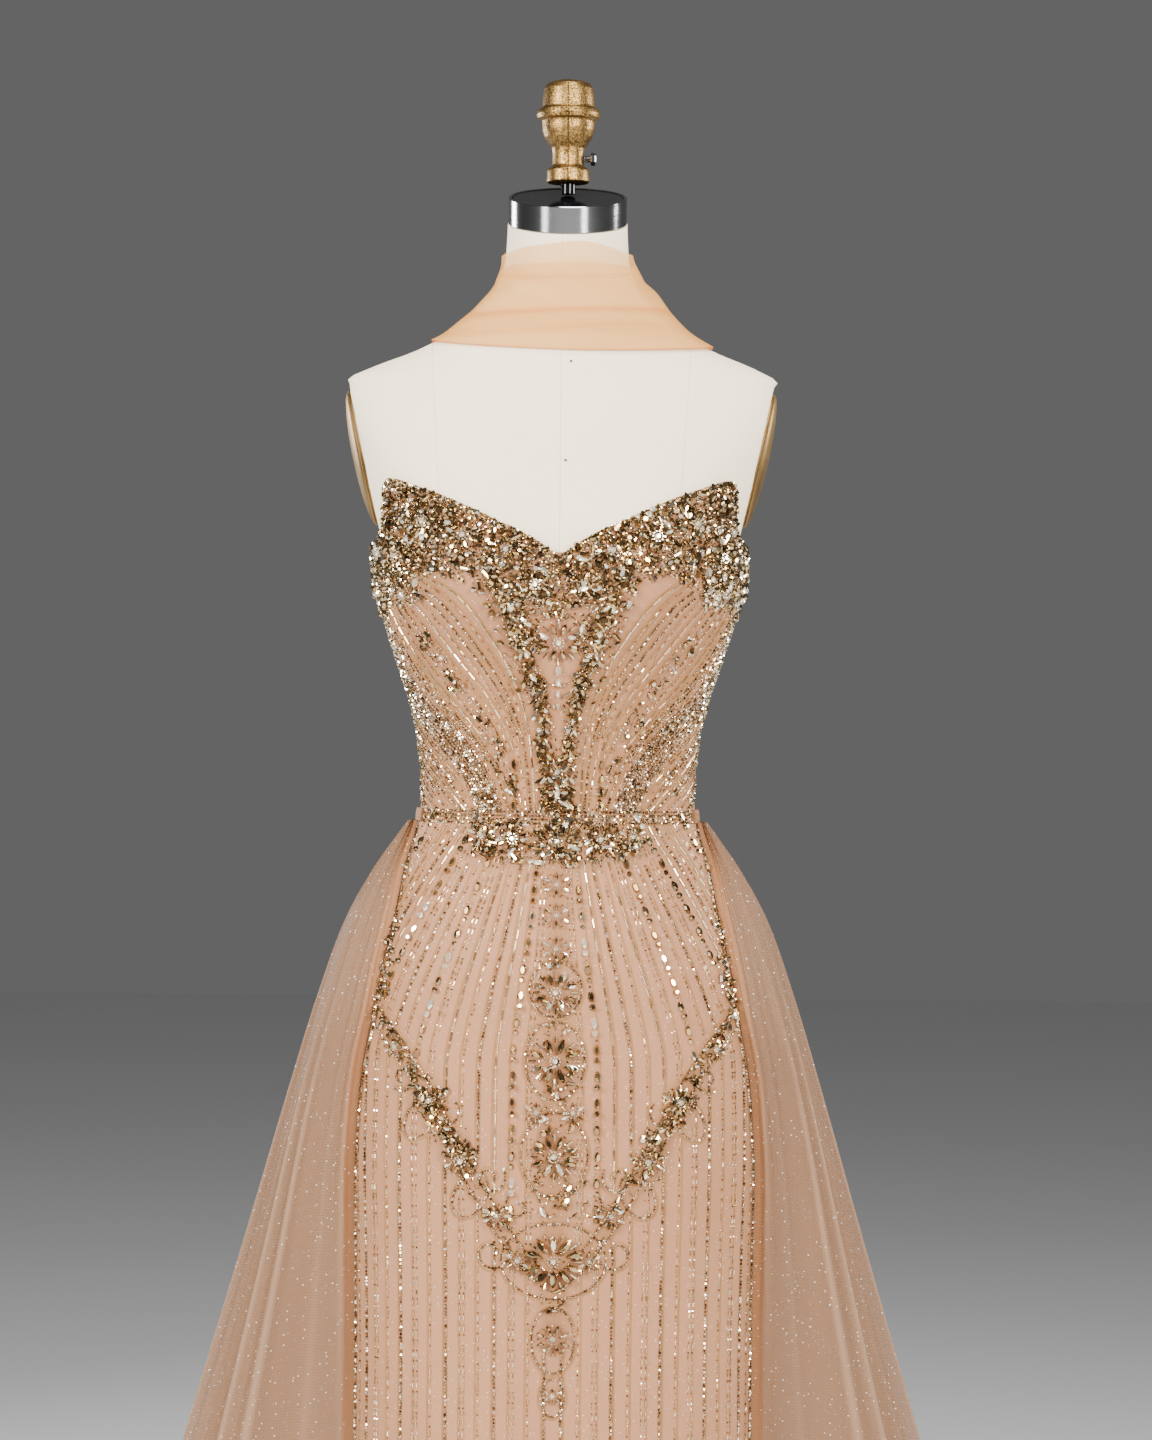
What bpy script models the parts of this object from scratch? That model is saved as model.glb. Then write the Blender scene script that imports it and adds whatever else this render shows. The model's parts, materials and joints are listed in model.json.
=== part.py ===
"""A strapless beaded mermaid gown with a sheer overskirt and a neck wrap, worn by a limbless dress form.

Metres, +Z up. The gown's front faces -Y and the form's pole stands on the origin. Left and right are
the wearer's own, so left is +X.
"""

import math
from collections import namedtuple

import bpy
import numpy as np
from mathutils import Matrix, Vector

# ------------------------------------------------------------------ driving dimensions
WAIST_Z = 1.098  # height of the waist seam above the floor
HEM_Z = 0.012
SEAM_GAP = 0.0003  # clear space between pieces that meet
FORM_EASE = 0.0012  # clear space between the figure and the inside of the gown
FORM_SLIM = 0.0018  # the form is this much slimmer where the gown covers it
FORM_BUST = 0.85  # and its bust this much flatter
CLOTH = 0.0020  # beaded cloth with its backing
TULLE = 0.0010  # one layer of tulle
BEADING = 0.0013  # how far the thickest beadwork stands out of the cloth

FORM_BOTTOM_Z = 0.720
NECK_TOP_Z = 1.6115  # middle of the tilted plane where the neck ends
NECK_TILT = math.radians(16.5)
TILT_START_Z = 1.530
NECK_ASIDE = 0.0042  # the neck stands this much to the left of the body's middle
ASIDE_START_Z = 1.462
ASIDE_END_Z = 1.500

SHOULDER_SEAM_Z = 1.474  # above this the armhole no longer flattens the form's sides
ARM_BOTTOM_Z = 1.337
ARM_PLANE_X = 0.1705  # how far out the armhole's plane is at its middle height
ARM_PLANE_Z = 1.407
ARM_PLANE_SLOPE = 0.219
ARM_PLATE_HIGH = 0.0600  # half of the plate's height
ARM_PLATE_DEEP = 0.0395
ARM_PLATE_DOME = 0.0085
ARM_PLATE_RIM = 0.0015
ARM_PLATE_Y = 0.0030

BUST_X = 0.081
BUST_Z = 1.292
BUST_REACH = 0.0185
BUST_WIDE = 0.050
BUST_BELOW = 0.046
BUST_ABOVE = 0.072

ZIP_WIDE = 0.0050
ZIP_THICK = 0.0014
ZIP_BOTTOM_Z = 0.930
ZIP_SHORT = 0.0040  # the zip ends this far below the back's top edge

HEM_WAVES = 9
HEM_WAVE = 0.0100
FLARE_START_Z = 0.520

BAND_HIGH = 0.0110
BAND_TOP_Z = 1.1030
BAND_THICK = 0.0030
BAND_START = math.radians(74.0)

FOLDS = 8  # deep folds in each half of the overskirt
OVERSKIRT_EASE = 0.0030  # clear space between the skirt and the overskirt's front edge
UNDER_GAP = 0.0005
LAYER_SPREAD = 0.0060  # how far apart the overskirt's two layers hang at the hem
UNDER_FOLDS = 5
UNDER_FOLD = 0.0080
UNDER_START = 0.013  # the under layer's front edge lies this share behind the outer layer's

WRAP_BOTTOM_Z = 1.5045
WRAP_INNER_TOP_Z = 1.5760
WRAP_OUTER_TOP_Z = 1.5900
WRAP_EASE = 0.0012
WRAP_SLACK = 0.0075  # how far the wrap stands off the left side of the neck
WRAP_SLACK_Z = 1.545
WRAP_SLACK_HIGH = 0.026

BAND_RADIUS = 0.0515
NECK_BAND_HIGH = 0.0233
NECK_BAND_WALL = 0.0030
DISC_RADIUS = 0.0482
DISC_THICK = 0.0040
DISC_SUNK = 0.0008
SHAFT_RADIUS = 0.0065
FINIAL_BOTTOM_Z = 1.6470
SCREW_SHANK = 0.0028
SCREW_HEAD = 0.0056
SCREW_Z = 1.6680
SCREW_START_X = 0.0140
SCREW_HEAD_X = 0.0195
SCREW_END_X = 0.0240

POLE_RADIUS = 0.0125
BASE_RADIUS = 0.2000
BASE_HIGH = 0.0100
BOSS_RADIUS = 0.0300
BOSS_HIGH = 0.0300
FLANGE_RADIUS = 0.0450
FLANGE_THICK = 0.0060

ROUND_STEPS = 20
FORM_COLUMNS = 36
NECK_HEIGHTS = (WRAP_BOTTOM_Z, 1.515, 1.528, 1.544, 1.562, 1.582)

# ------------------------------------------------------------------ tables
# The body's level sections: half of the width, reach in front of and behind the axis, and the
# exponent of the outline (2 is an ellipse, more is squarer, less is leaner at the sides).
Section = namedtuple("Section", "z half_width front back square")
SECTIONS = (
    Section(0.012, 0.270, 0.232, 0.262, 2.0),
    Section(0.100, 0.249, 0.205, 0.232, 2.0),
    Section(0.200, 0.225, 0.174, 0.196, 2.0),
    Section(0.300, 0.202, 0.144, 0.160, 2.1),
    Section(0.400, 0.182, 0.117, 0.127, 2.1),
    Section(0.500, 0.1685, 0.101, 0.105, 2.2),
    Section(0.620, 0.1680, 0.097, 0.102, 2.2),
    Section(0.720, 0.1695, 0.098, 0.108, 2.2),
    Section(0.800, 0.1715, 0.101, 0.116, 2.2),
    Section(0.880, 0.1700, 0.104, 0.121, 2.2),
    Section(0.950, 0.1610, 0.104, 0.113, 2.15),
    Section(1.000, 0.1490, 0.099, 0.099, 2.1),
    Section(1.050, 0.1330, 0.091, 0.084, 2.1),
    Section(1.098, 0.1165, 0.085, 0.075, 2.1),
    Section(1.125, 0.1150, 0.085, 0.074, 2.1),
    Section(1.163, 0.1185, 0.089, 0.078, 2.1),
    Section(1.197, 0.1262, 0.096, 0.083, 2.15),
    Section(1.232, 0.1375, 0.106, 0.089, 2.2),
    Section(1.267, 0.1485, 0.117, 0.094, 2.2),
    Section(1.302, 0.1560, 0.122, 0.098, 2.3),
    Section(1.337, 0.1570, 0.117, 0.101, 2.4),
    Section(1.380, 0.1700, 0.103, 0.103, 2.5),
    Section(1.420, 0.1810, 0.088, 0.102, 2.5),
    Section(1.455, 0.1875, 0.074, 0.097, 2.2),
    Section(1.474, 0.1870, 0.066, 0.092, 1.8),
    Section(1.486, 0.1660, 0.062, 0.088, 1.7),
    Section(1.500, 0.1310, 0.058, 0.083, 1.7),
    Section(1.515, 0.1030, 0.055, 0.077, 1.8),
    Section(1.535, 0.0790, 0.053, 0.069, 1.9),
    Section(1.560, 0.0590, 0.051, 0.060, 2.0),
    Section(1.585, 0.0532, 0.0515, 0.0545, 2.0),
    Section(1.625, 0.0515, 0.0510, 0.0510, 2.0),
)

# The bodice's top edge: its height at each angle from the middle of the front.
Edge = namedtuple("Edge", "degrees z")
NECKLINE = (
    Edge(0.0, 1.3180),
    Edge(4.5, 1.3305),
    Edge(9.0, 1.3390),
    Edge(15.0, 1.3475),
    Edge(20.0, 1.3550),
    Edge(26.0, 1.3630),
    Edge(32.0, 1.3700),
    Edge(38.0, 1.3755),
    Edge(45.0, 1.3810),
    Edge(50.0, 1.3842),
    Edge(53.0, 1.3850),
    Edge(56.0, 1.3815),
    Edge(60.0, 1.3680),
    Edge(65.0, 1.3520),
    Edge(70.5, 1.3390),
    Edge(80.0, 1.3325),
    Edge(92.0, 1.3290),
    Edge(115.0, 1.3200),
    Edge(145.0, 1.3070),
    Edge(180.0, 1.3000),
)

# Where the bodice's seams run: their angles from the middle of the front at each height.
Seam = namedtuple("Seam", "z princess side")
SEAMS = (
    Seam(1.098, 24.0, 94.0),
    Seam(1.200, 31.0, 94.0),
    Seam(1.290, 38.0, 94.0),
    Seam(1.390, 44.0, 94.0),
)

# The overskirt, seen from above at each height: where its front edge lies on the skirt, its widest
# point, its reach behind the axis and the depth of its folds.
Sweep = namedtuple("Sweep", "z edge_degrees half_width side_y back fold")
OVERSKIRT = (
    Sweep(0.012, 80.0, 0.4640, 0.060, 0.4700, 0.0120),
    Sweep(0.300, 82.0, 0.3790, 0.045, 0.3800, 0.0100),
    Sweep(0.550, 86.0, 0.3100, 0.032, 0.3020, 0.0075),
    Sweep(0.760, 81.0, 0.2520, 0.022, 0.2380, 0.0050),
    Sweep(0.850, 75.0, 0.2280, 0.018, 0.2100, 0.0037),
    Sweep(0.940, 67.0, 0.2030, 0.013, 0.1780, 0.0024),
    Sweep(1.005, 68.0, 0.1820, 0.009, 0.1450, 0.0014),
    Sweep(1.050, 74.0, 0.1590, 0.004, 0.1120, 0.0007),
    Sweep(1.092, 84.0, 0.1300, 0.000, 0.0880, 0.0002),
)

# Thick beadwork on the front, half of it: each line's ends, how wide it spreads and its share of BEADING.
Stroke = namedtuple("Stroke", "x1 z1 x2 z2 spread share")
STROKES = (
    Stroke(0.062, 1.322, 0.012, 1.190, 0.012, 1.0),
    Stroke(0.012, 1.190, 0.008, 1.105, 0.010, 0.9),
    Stroke(0.142, 1.335, 0.128, 1.290, 0.014, 0.9),
    Stroke(0.138, 1.270, 0.100, 1.190, 0.010, 0.6),
    Stroke(0.100, 1.190, 0.052, 1.105, 0.009, 0.6),
    Stroke(0.000, 1.068, 0.066, 1.070, 0.012, 1.0),
    Stroke(0.000, 1.060, 0.000, 0.930, 0.011, 0.8),
    Stroke(0.000, 0.930, 0.000, 0.660, 0.014, 1.0),
    Stroke(0.152, 1.020, 0.158, 0.945, 0.010, 0.9),
    Stroke(0.158, 0.945, 0.110, 0.868, 0.009, 0.8),
    Stroke(0.110, 0.868, 0.074, 0.800, 0.013, 1.0),
    Stroke(0.074, 0.800, 0.024, 0.722, 0.012, 0.9),
)
YOKE_DEEP = 0.042  # how far the encrusted yoke reaches down from the neckline
YOKE_FADE = 0.010
YOKE_END = 100.0  # degrees from the middle of the front where the yoke has faded out

# The finial, turned: radius and height above its underside, from the top down.
Turning = namedtuple("Turning", "radius height")
FINIAL = (
    Turning(0.0000, 0.0905),
    Turning(0.0075, 0.0898),
    Turning(0.0145, 0.0882),
    Turning(0.0190, 0.0862),
    Turning(0.0213, 0.0825),
    Turning(0.0224, 0.0749),
    Turning(0.0232, 0.0650),
    Turning(0.0268, 0.0636),
    Turning(0.0277, 0.0598),
    Turning(0.0268, 0.0557),
    Turning(0.0231, 0.0540),
    Turning(0.0227, 0.0457),
    Turning(0.0208, 0.0396),
    Turning(0.0172, 0.0340),
    Turning(0.0144, 0.0304),
    Turning(0.0137, 0.0250),
    Turning(0.0137, 0.0150),
    Turning(0.0183, 0.0116),
    Turning(0.0186, 0.0012),
    Turning(0.0174, 0.0000),
    Turning(0.0000, 0.0000),
)

# ------------------------------------------------------------------ smooth reading of the tables


def smooth(xs, ys, x):
    """A curve through the points (xs, ys) that never swings past them, read at x."""
    xs, ys = np.asarray(xs, float), np.asarray(ys, float)
    run = np.diff(xs)
    rise = np.diff(ys) / run
    slope = np.zeros(len(xs))
    for k in range(1, len(xs) - 1):
        if rise[k - 1] * rise[k] > 0:
            before = 2 * run[k] + run[k - 1]
            after = run[k] + 2 * run[k - 1]
            slope[k] = (before + after) / (before / rise[k - 1] + after / rise[k])
    slope[0], slope[-1] = rise[0], rise[-1]
    x = np.clip(x, xs[0], xs[-1])
    k = np.clip(np.searchsorted(xs, x) - 1, 0, len(run) - 1)
    t = (x - xs[k]) / run[k]
    start, end = ys[k], ys[k + 1]
    ease = t * t * (3 - 2 * t)
    pull = t * (1 - t) * run[k] * ((1 - t) * slope[k] - t * slope[k + 1])
    return start + (end - start) * ease + pull


def column(table, name, x, key="z"):
    return smooth([getattr(row, key) for row in table], [getattr(row, name) for row in table], x)


def step_up(x, low, high):
    t = np.clip((x - low) / (high - low), 0.0, 1.0)
    return t * t * (3 - 2 * t)


def stack(x, y, z):
    return np.stack(np.broadcast_arrays(x, y, z), axis=-1)


# ------------------------------------------------------------------ surfaces


def body(angle, z, bust_share=1.0):
    """Points of the figure at angles from the middle of the front, in radians, and heights."""
    half = column(SECTIONS, "half_width", z)
    front, back = column(SECTIONS, "front", z), column(SECTIONS, "back", z)
    power = 2.0 / column(SECTIONS, "square", z)
    across = np.sin(angle)
    ahead = np.cos(angle)
    x = half * np.sign(across) * np.abs(across) ** power
    y = -np.where(ahead > 0, front, back) * np.sign(ahead) * np.abs(ahead) ** power
    tall = np.where(z > BUST_Z, BUST_ABOVE, BUST_BELOW)
    bust = np.exp(-(((np.abs(x) - BUST_X) / BUST_WIDE) ** 2 + ((z - BUST_Z) / tall) ** 2))
    y = y - bust_share * BUST_REACH * bust * step_up(ahead, 0.0, 0.5)
    flare = step_up(FLARE_START_Z - z, 0.0, FLARE_START_Z - HEM_Z)
    swell = 1 + flare * HEM_WAVE * np.cos(HEM_WAVES * angle) / np.maximum(half, 0.1)
    return stack(x * swell, y * swell, z)


def moved_out(surface, angle, z, lift):
    """Points of a surface moved out in their own level plane."""
    step = 1e-3
    here = surface(angle, z)
    along = surface(angle + step, z) - surface(angle - step, z)
    out = np.stack([along[..., 1], -along[..., 0]], axis=-1)
    out /= np.linalg.norm(out, axis=-1, keepdims=True)
    moved = here.copy()
    moved[..., :2] += out * np.broadcast_to(lift, here.shape[:-1])[..., None]
    return moved


def neckline(angle):
    return column(NECKLINE, "z", np.degrees(np.abs(angle)), key="degrees")


def beading(angle, z):
    """How far the thick beadwork stands out of the gown at this place."""
    place = body(angle, z)
    x, ahead = np.abs(place[..., 0]), np.cos(angle)
    thick = np.zeros(np.shape(x))
    for line in STROKES:
        along = np.array([line.x2 - line.x1, line.z2 - line.z1])
        t = ((x - line.x1) * along[0] + (z - line.z1) * along[1]) / (along @ along)
        t = np.clip(t, 0.0, 1.0)
        away = np.hypot(x - line.x1 - t * along[0], z - line.z1 - t * along[1])
        thick = np.maximum(thick, line.share * (1 - step_up(away, 0.5 * line.spread, 1.4 * line.spread)))
    thick = thick * step_up(ahead, -0.05, 0.15)
    below = neckline(angle) - z
    yoke = 1 - step_up(below, YOKE_DEEP, YOKE_DEEP + YOKE_FADE)
    yoke = yoke * (1 - step_up(np.degrees(np.abs(angle)), 0.85 * YOKE_END, YOKE_END))
    yoke = np.where(z > WAIST_Z, yoke, 0.0)
    return BEADING * np.maximum(thick, yoke)


def overskirt(share, z):
    """Points of the overskirt's left half, from its front edge (share 0) to the middle of the back (share 1)."""
    edge_angle = np.radians(column(OVERSKIRT, "edge_degrees", z))
    on_skirt = moved_out(body, edge_angle, z, FORM_EASE + CLOTH + BEADING + OVERSKIRT_EASE)
    half = column(OVERSKIRT, "half_width", z)
    side_y = column(OVERSKIRT, "side_y", z)
    back = column(OVERSKIRT, "back", z)
    front_part = 0.30
    t = np.minimum(share / front_part, 1.0) * math.pi / 2
    u = np.maximum((share - front_part) / (1 - front_part), 0.0) * math.pi / 2
    before = share < front_part
    x = np.where(before, on_skirt[..., 0] + (half - on_skirt[..., 0]) * np.sin(t), half * np.cos(u))
    y_front = side_y - (side_y - on_skirt[..., 1]) * np.cos(t)
    y = np.where(before, y_front, side_y + (back - side_y) * np.sin(u))
    return stack(x, y, z)


def folded_overskirt(share, z):
    """The overskirt with its deep folds, uneven in pitch and depth."""
    depth = column(OVERSKIRT, "fold", z)
    run = share + 0.018 * np.sin(2 * math.pi * 2.3 * share + 0.6)
    wave = np.sin(2 * math.pi * FOLDS * run) * (0.78 + 0.22 * np.cos(2 * math.pi * 1.7 * share))
    settle = step_up(share, 0.0, 0.05)
    return moved_out(overskirt, share, z, depth * (1 + wave) * settle)


def under_overskirt(share, z):
    """The overskirt's under layer, just inside the outer one at the waist and further in at the hem."""
    drop = (BAND_TOP_Z - z) / (BAND_TOP_Z - HEM_Z)
    wave = 0.5 + 0.5 * np.sin(2 * math.pi * UNDER_FOLDS * share + 1.0)
    inward = TULLE + UNDER_GAP + LAYER_SPREAD * drop + UNDER_FOLD * drop * wave
    return moved_out(overskirt, share, z, -inward)


# ------------------------------------------------------------------ building


def clear_scene():
    for obj in list(bpy.data.objects):
        bpy.data.objects.remove(obj, do_unlink=True)


def material(name, colour, roughness, metallic=0.0):
    made = bpy.data.materials.new(name)
    made.use_nodes = True
    shader = made.node_tree.nodes["Principled BSDF"]
    shader.inputs["Base Color"].default_value = (*colour, 1.0)
    shader.inputs["Roughness"].default_value = roughness
    shader.inputs["Metallic"].default_value = metallic
    made.diffuse_color = (*colour, 1.0)
    return made


def add_object(name, mesh, finish, collection):
    mesh.materials.append(finish)
    obj = bpy.data.objects.new(name, mesh)
    collection.objects.link(obj)
    return obj


def turned_over(face):
    """The same face the other way up, from the same first corner, so that its diagonal stays where it was."""
    return (face[0], *face[:0:-1])


def grid_faces(rows, columns, start, turned):
    """Quads of a grid of points; turned grids face the other way."""
    faces = []
    for r in range(rows - 1):
        for c in range(columns - 1):
            a = start + r * columns + c
            quad = (a, a + 1, a + columns + 1, a + columns)
            faces.append(turned_over(quad) if turned else quad)
    return faces


def wall(name, outer, inner, finish, collection, mirrored=False):
    """A closed wall between two grids of points, shaped (rows, columns, 3), that run up and to the left."""
    rows, columns = outer.shape[:2]
    count = rows * columns
    points = np.concatenate([outer.reshape(-1, 3), inner.reshape(-1, 3)])
    faces = grid_faces(rows, columns, 0, False) + grid_faces(rows, columns, count, True)
    ring = [(0, c) for c in range(columns)]
    ring += [(r, columns - 1) for r in range(1, rows)]
    ring += [(rows - 1, c) for c in range(columns - 2, -1, -1)]
    ring += [(r, 0) for r in range(rows - 2, 0, -1)]
    rim = [r * columns + c for r, c in ring]
    for a, b in zip(rim, rim[1:] + rim[:1]):
        faces.append((b, a, a + count, b + count))
    if mirrored:
        points[:, 0] *= -1
        faces = [turned_over(face) for face in faces]
    mesh = bpy.data.meshes.new(name)
    mesh.from_pydata(points.tolist(), [], faces)
    mesh.shade_smooth()
    mesh.set_sharp_from_angle(angle=math.radians(50))
    return add_object(name, mesh, finish, collection)


def tube(name, outer, inner, finish, collection):
    """A closed wall between two grids that go all the way round, without a repeated last column."""
    rows, columns = outer.shape[:2]
    count = rows * columns
    points = np.concatenate([outer.reshape(-1, 3), inner.reshape(-1, 3)])
    faces = []
    for c in range(columns):
        d = (c + 1) % columns
        for r in range(rows - 1):
            low, high = r * columns, (r + 1) * columns
            faces.append((low + c, low + d, high + d, high + c))
            faces.append((count + low + c, count + high + c, count + high + d, count + low + d))
        top = (rows - 1) * columns
        faces.append((d, c, count + c, count + d))
        faces.append((top + c, top + d, count + top + d, count + top + c))
    mesh = bpy.data.meshes.new(name)
    mesh.from_pydata(points.tolist(), [], faces)
    mesh.shade_smooth()
    mesh.set_sharp_from_angle(angle=math.radians(50))
    return add_object(name, mesh, finish, collection)


def turned(name, profile, finish, collection, steps=ROUND_STEPS):
    """A turned solid: its profile runs from the top of the axis down the outside to the bottom."""
    mesh = bpy.data.meshes.new(name)
    points = [(radius, 0.0, height) for radius, height in profile]
    mesh.from_pydata(points, [(k, k + 1) for k in range(len(points) - 1)], [])
    obj = add_object(name, mesh, finish, collection)
    spin = obj.modifiers.new("Turn", "SCREW")
    spin.steps = spin.render_steps = steps
    spin.use_merge_vertices = True
    spin.merge_threshold = 0.00001
    return obj


def ring_profile(outer, inner, high):
    return [(inner, high), (outer, high), (outer, 0.0), (inner, 0.0), (inner, high)]


# ------------------------------------------------------------------ the gown


def gown_layers(angle, z):
    """The outside and the inside of the gown's cloth."""
    outer = moved_out(body, angle, z, FORM_EASE + CLOTH + beading(angle, z))
    return outer, moved_out(body, angle, z, FORM_EASE)


def seam_angle(name, z):
    return np.radians(column(SEAMS, name, z))


def arc_gap(angle, z, width):
    """The angle that a width along the cloth takes up at this place."""
    step = 1e-3
    along = body(angle + step, z) - body(angle - step, z)
    return width * 2 * step / np.linalg.norm(along[..., :2], axis=-1)


def back_edge(z):
    """Where a back panel ends: at the zip, and below it at the plain seam."""
    beside_zip = step_up(z, ZIP_BOTTOM_Z, ZIP_BOTTOM_Z + 0.008)
    width = SEAM_GAP / 2 + (ZIP_WIDE / 2 + SEAM_GAP / 2) * beside_zip
    return math.pi - arc_gap(math.pi, z, width)


def bodice_panel(name, starts, ends, columns, rows, finish, collection, mirrored=False):
    """A bodice panel between two seams, from the waist seam up to the neckline."""
    across = np.linspace(0.0, 1.0, columns)
    bottom = WAIST_Z + SEAM_GAP / 2
    angle = starts(np.full(columns, bottom)) * (1 - across) + ends(np.full(columns, bottom)) * across
    z = np.zeros((rows, columns))
    angles = np.zeros((rows, columns))
    for r, share in enumerate(np.linspace(0.0, 1.0, rows)):
        for _ in range(4):
            height = bottom + share * (neckline(angle) - bottom)
            angle = starts(height) * (1 - across) + ends(height) * across
        z[r], angles[r] = height, angle
    outer, inner = gown_layers(angles, z)
    return wall(name, outer, inner, finish, collection, mirrored)


def skirt_panel(name, starts, ends, columns, heights, finish, collection, mirrored=False):
    z = np.repeat(np.array(heights)[:, None], columns, axis=1)
    across = np.linspace(0.0, 1.0, columns)[None, :]
    angle = starts(z) * (1 - across) + ends(z) * across
    outer, inner = gown_layers(angle, z)
    return wall(name, outer, inner, finish, collection, mirrored)


def make_gown(cloth, zip_tape, collection):
    half_gap = SEAM_GAP / 2

    def princess(z, away):
        angle = seam_angle("princess", z)
        return angle + away * arc_gap(angle, z, half_gap)

    def side(z, away):
        angle = seam_angle("side", z)
        return angle + away * arc_gap(angle, z, half_gap)

    bodice_panel(
        "bodice_centre_front",
        lambda z: -princess(z, -1),
        lambda z: princess(z, -1),
        13,
        12,
        cloth,
        collection,
    )
    heights = [HEM_Z, 0.12, 0.23, 0.34, 0.44, 0.53, 0.64, 0.76, 0.86]
    heights += [0.93, 0.938, 0.99, 1.04, 1.072, BAND_TOP_Z - BAND_HIGH, WAIST_Z - half_gap]
    front_heights = [z for z in heights if z != 0.938]
    skirt_panel(
        "skirt_front", lambda z: -side(z, -1), lambda z: side(z, -1), 24, front_heights, cloth, collection
    )
    for suffix, mirrored in (("left", False), ("right", True)):
        bodice_panel(
            "bodice_side_front_" + suffix,
            lambda z: princess(z, 1),
            lambda z: side(z, -1),
            10,
            12,
            cloth,
            collection,
            mirrored,
        )
        bodice_panel(
            "bodice_back_" + suffix, lambda z: side(z, 1), back_edge, 11, 10, cloth, collection, mirrored
        )
        skirt_panel(
            "skirt_back_" + suffix, lambda z: side(z, 1), back_edge, 12, heights, cloth, collection, mirrored
        )

    zip_z = np.concatenate(
        [np.linspace(ZIP_BOTTOM_Z + 0.009, WAIST_Z, 4), np.linspace(WAIST_Z + 0.05, 1.300 - ZIP_SHORT, 5)]
    )
    z = np.repeat(zip_z[:, None], 2, axis=1)
    reach = arc_gap(math.pi, z, ZIP_WIDE / 2)
    angle = math.pi + reach * np.array([[-1.0, 1.0]])
    outer = moved_out(body, angle, z, FORM_EASE + ZIP_THICK)
    wall("centre_back_zip", outer, moved_out(body, angle, z, FORM_EASE), zip_tape, collection)


# ------------------------------------------------------------------ the overskirt


def make_overskirt(tulle, collection):
    on_skirt = FORM_EASE + CLOTH + 2 * SEAM_GAP
    angle = np.linspace(BAND_START, 2 * math.pi - BAND_START, 33)[None, :]
    z = np.linspace(BAND_TOP_Z - BAND_HIGH, BAND_TOP_Z, 2)[:, None]
    angle, z = np.broadcast_arrays(angle, z)
    thick = beading(angle, z)
    outer = moved_out(body, angle, z, on_skirt + BAND_THICK + thick)
    inner = moved_out(body, angle, z, on_skirt + thick)
    wall("overskirt_band", outer, inner, tulle, collection)

    top = BAND_TOP_Z - BAND_HIGH - SEAM_GAP
    heights = np.array([HEM_Z, 0.23, 0.44, 0.64, 0.76, 0.86, 0.93, 0.99, 1.04, 1.072, top])
    share = np.linspace(0.0, 1.0, 6 * FOLDS + 1)
    under_share = np.linspace(UNDER_START, 1.0, 3 * UNDER_FOLDS + 2)
    for layer, surface, shares in (
        ("outer", folded_overskirt, share),
        ("under", under_overskirt, under_share),
    ):
        z, s = np.meshgrid(heights, shares, indexing="ij")
        outer, inner = surface(s, z), moved_out(surface, s, z, -TULLE)
        for grid in (outer, inner):
            grid[:, -1, 0] = SEAM_GAP / 2
        wall(f"overskirt_{layer}_left", outer.copy(), inner.copy(), tulle, collection)
        wall(f"overskirt_{layer}_right", outer, inner, tulle, collection, mirrored=True)


# ------------------------------------------------------------------ the neck wrap


def make_neck_wrap(tulle, collection):
    angle = np.linspace(0.0, 2 * math.pi, FORM_COLUMNS + 1)[:-1][None, :]
    for name, top, ease in (
        ("neck_wrap_inner", WRAP_INNER_TOP_Z, WRAP_EASE),
        ("neck_wrap_outer", WRAP_OUTER_TOP_Z, WRAP_EASE + TULLE + UNDER_GAP),
    ):
        heights = [z for z in NECK_HEIGHTS if z < top] + [top]
        turn, height = np.broadcast_arrays(angle, np.array(heights)[:, None])
        slack = wrap_slack(turn, height)
        inner = neck_surface(turn, height, ease + slack)
        outer = neck_surface(turn, height, ease + slack + TULLE)
        tube(name, outer, inner, tulle, collection)


def wrap_slack(angle, z):
    """How far the wrap bellies out at the left side of the neck."""
    return WRAP_SLACK * step_up(np.sin(angle), 0.1, 0.9) * np.exp(-(((z - WRAP_SLACK_Z) / WRAP_SLACK_HIGH) ** 2))


def neck_surface(angle, z, lift):
    """The neck and shoulders moved out along their own slope, tilted as the neck is."""
    step = 1e-3
    here = body(angle, z)
    along = body(angle + step, z) - body(angle - step, z)
    up = body(angle, z + step) - body(angle, z - step)
    out = np.cross(along, up)
    out /= np.linalg.norm(out, axis=-1, keepdims=True)
    return tilted(here + out * np.broadcast_to(lift, here.shape[:-1])[..., None])


def tilted(points):
    """Sets the neck aside, and leans its rings forward, more and more from its root to its top."""
    lean = math.tan(NECK_TILT) * step_up(points[..., 2], TILT_START_Z, NECK_TOP_Z)
    points = points.copy()
    points[..., 0] += NECK_ASIDE * step_up(points[..., 2], ASIDE_START_Z, ASIDE_END_Z)
    points[..., 2] += points[..., 1] * lean
    return points


# ------------------------------------------------------------------ the form and its stand


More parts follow.
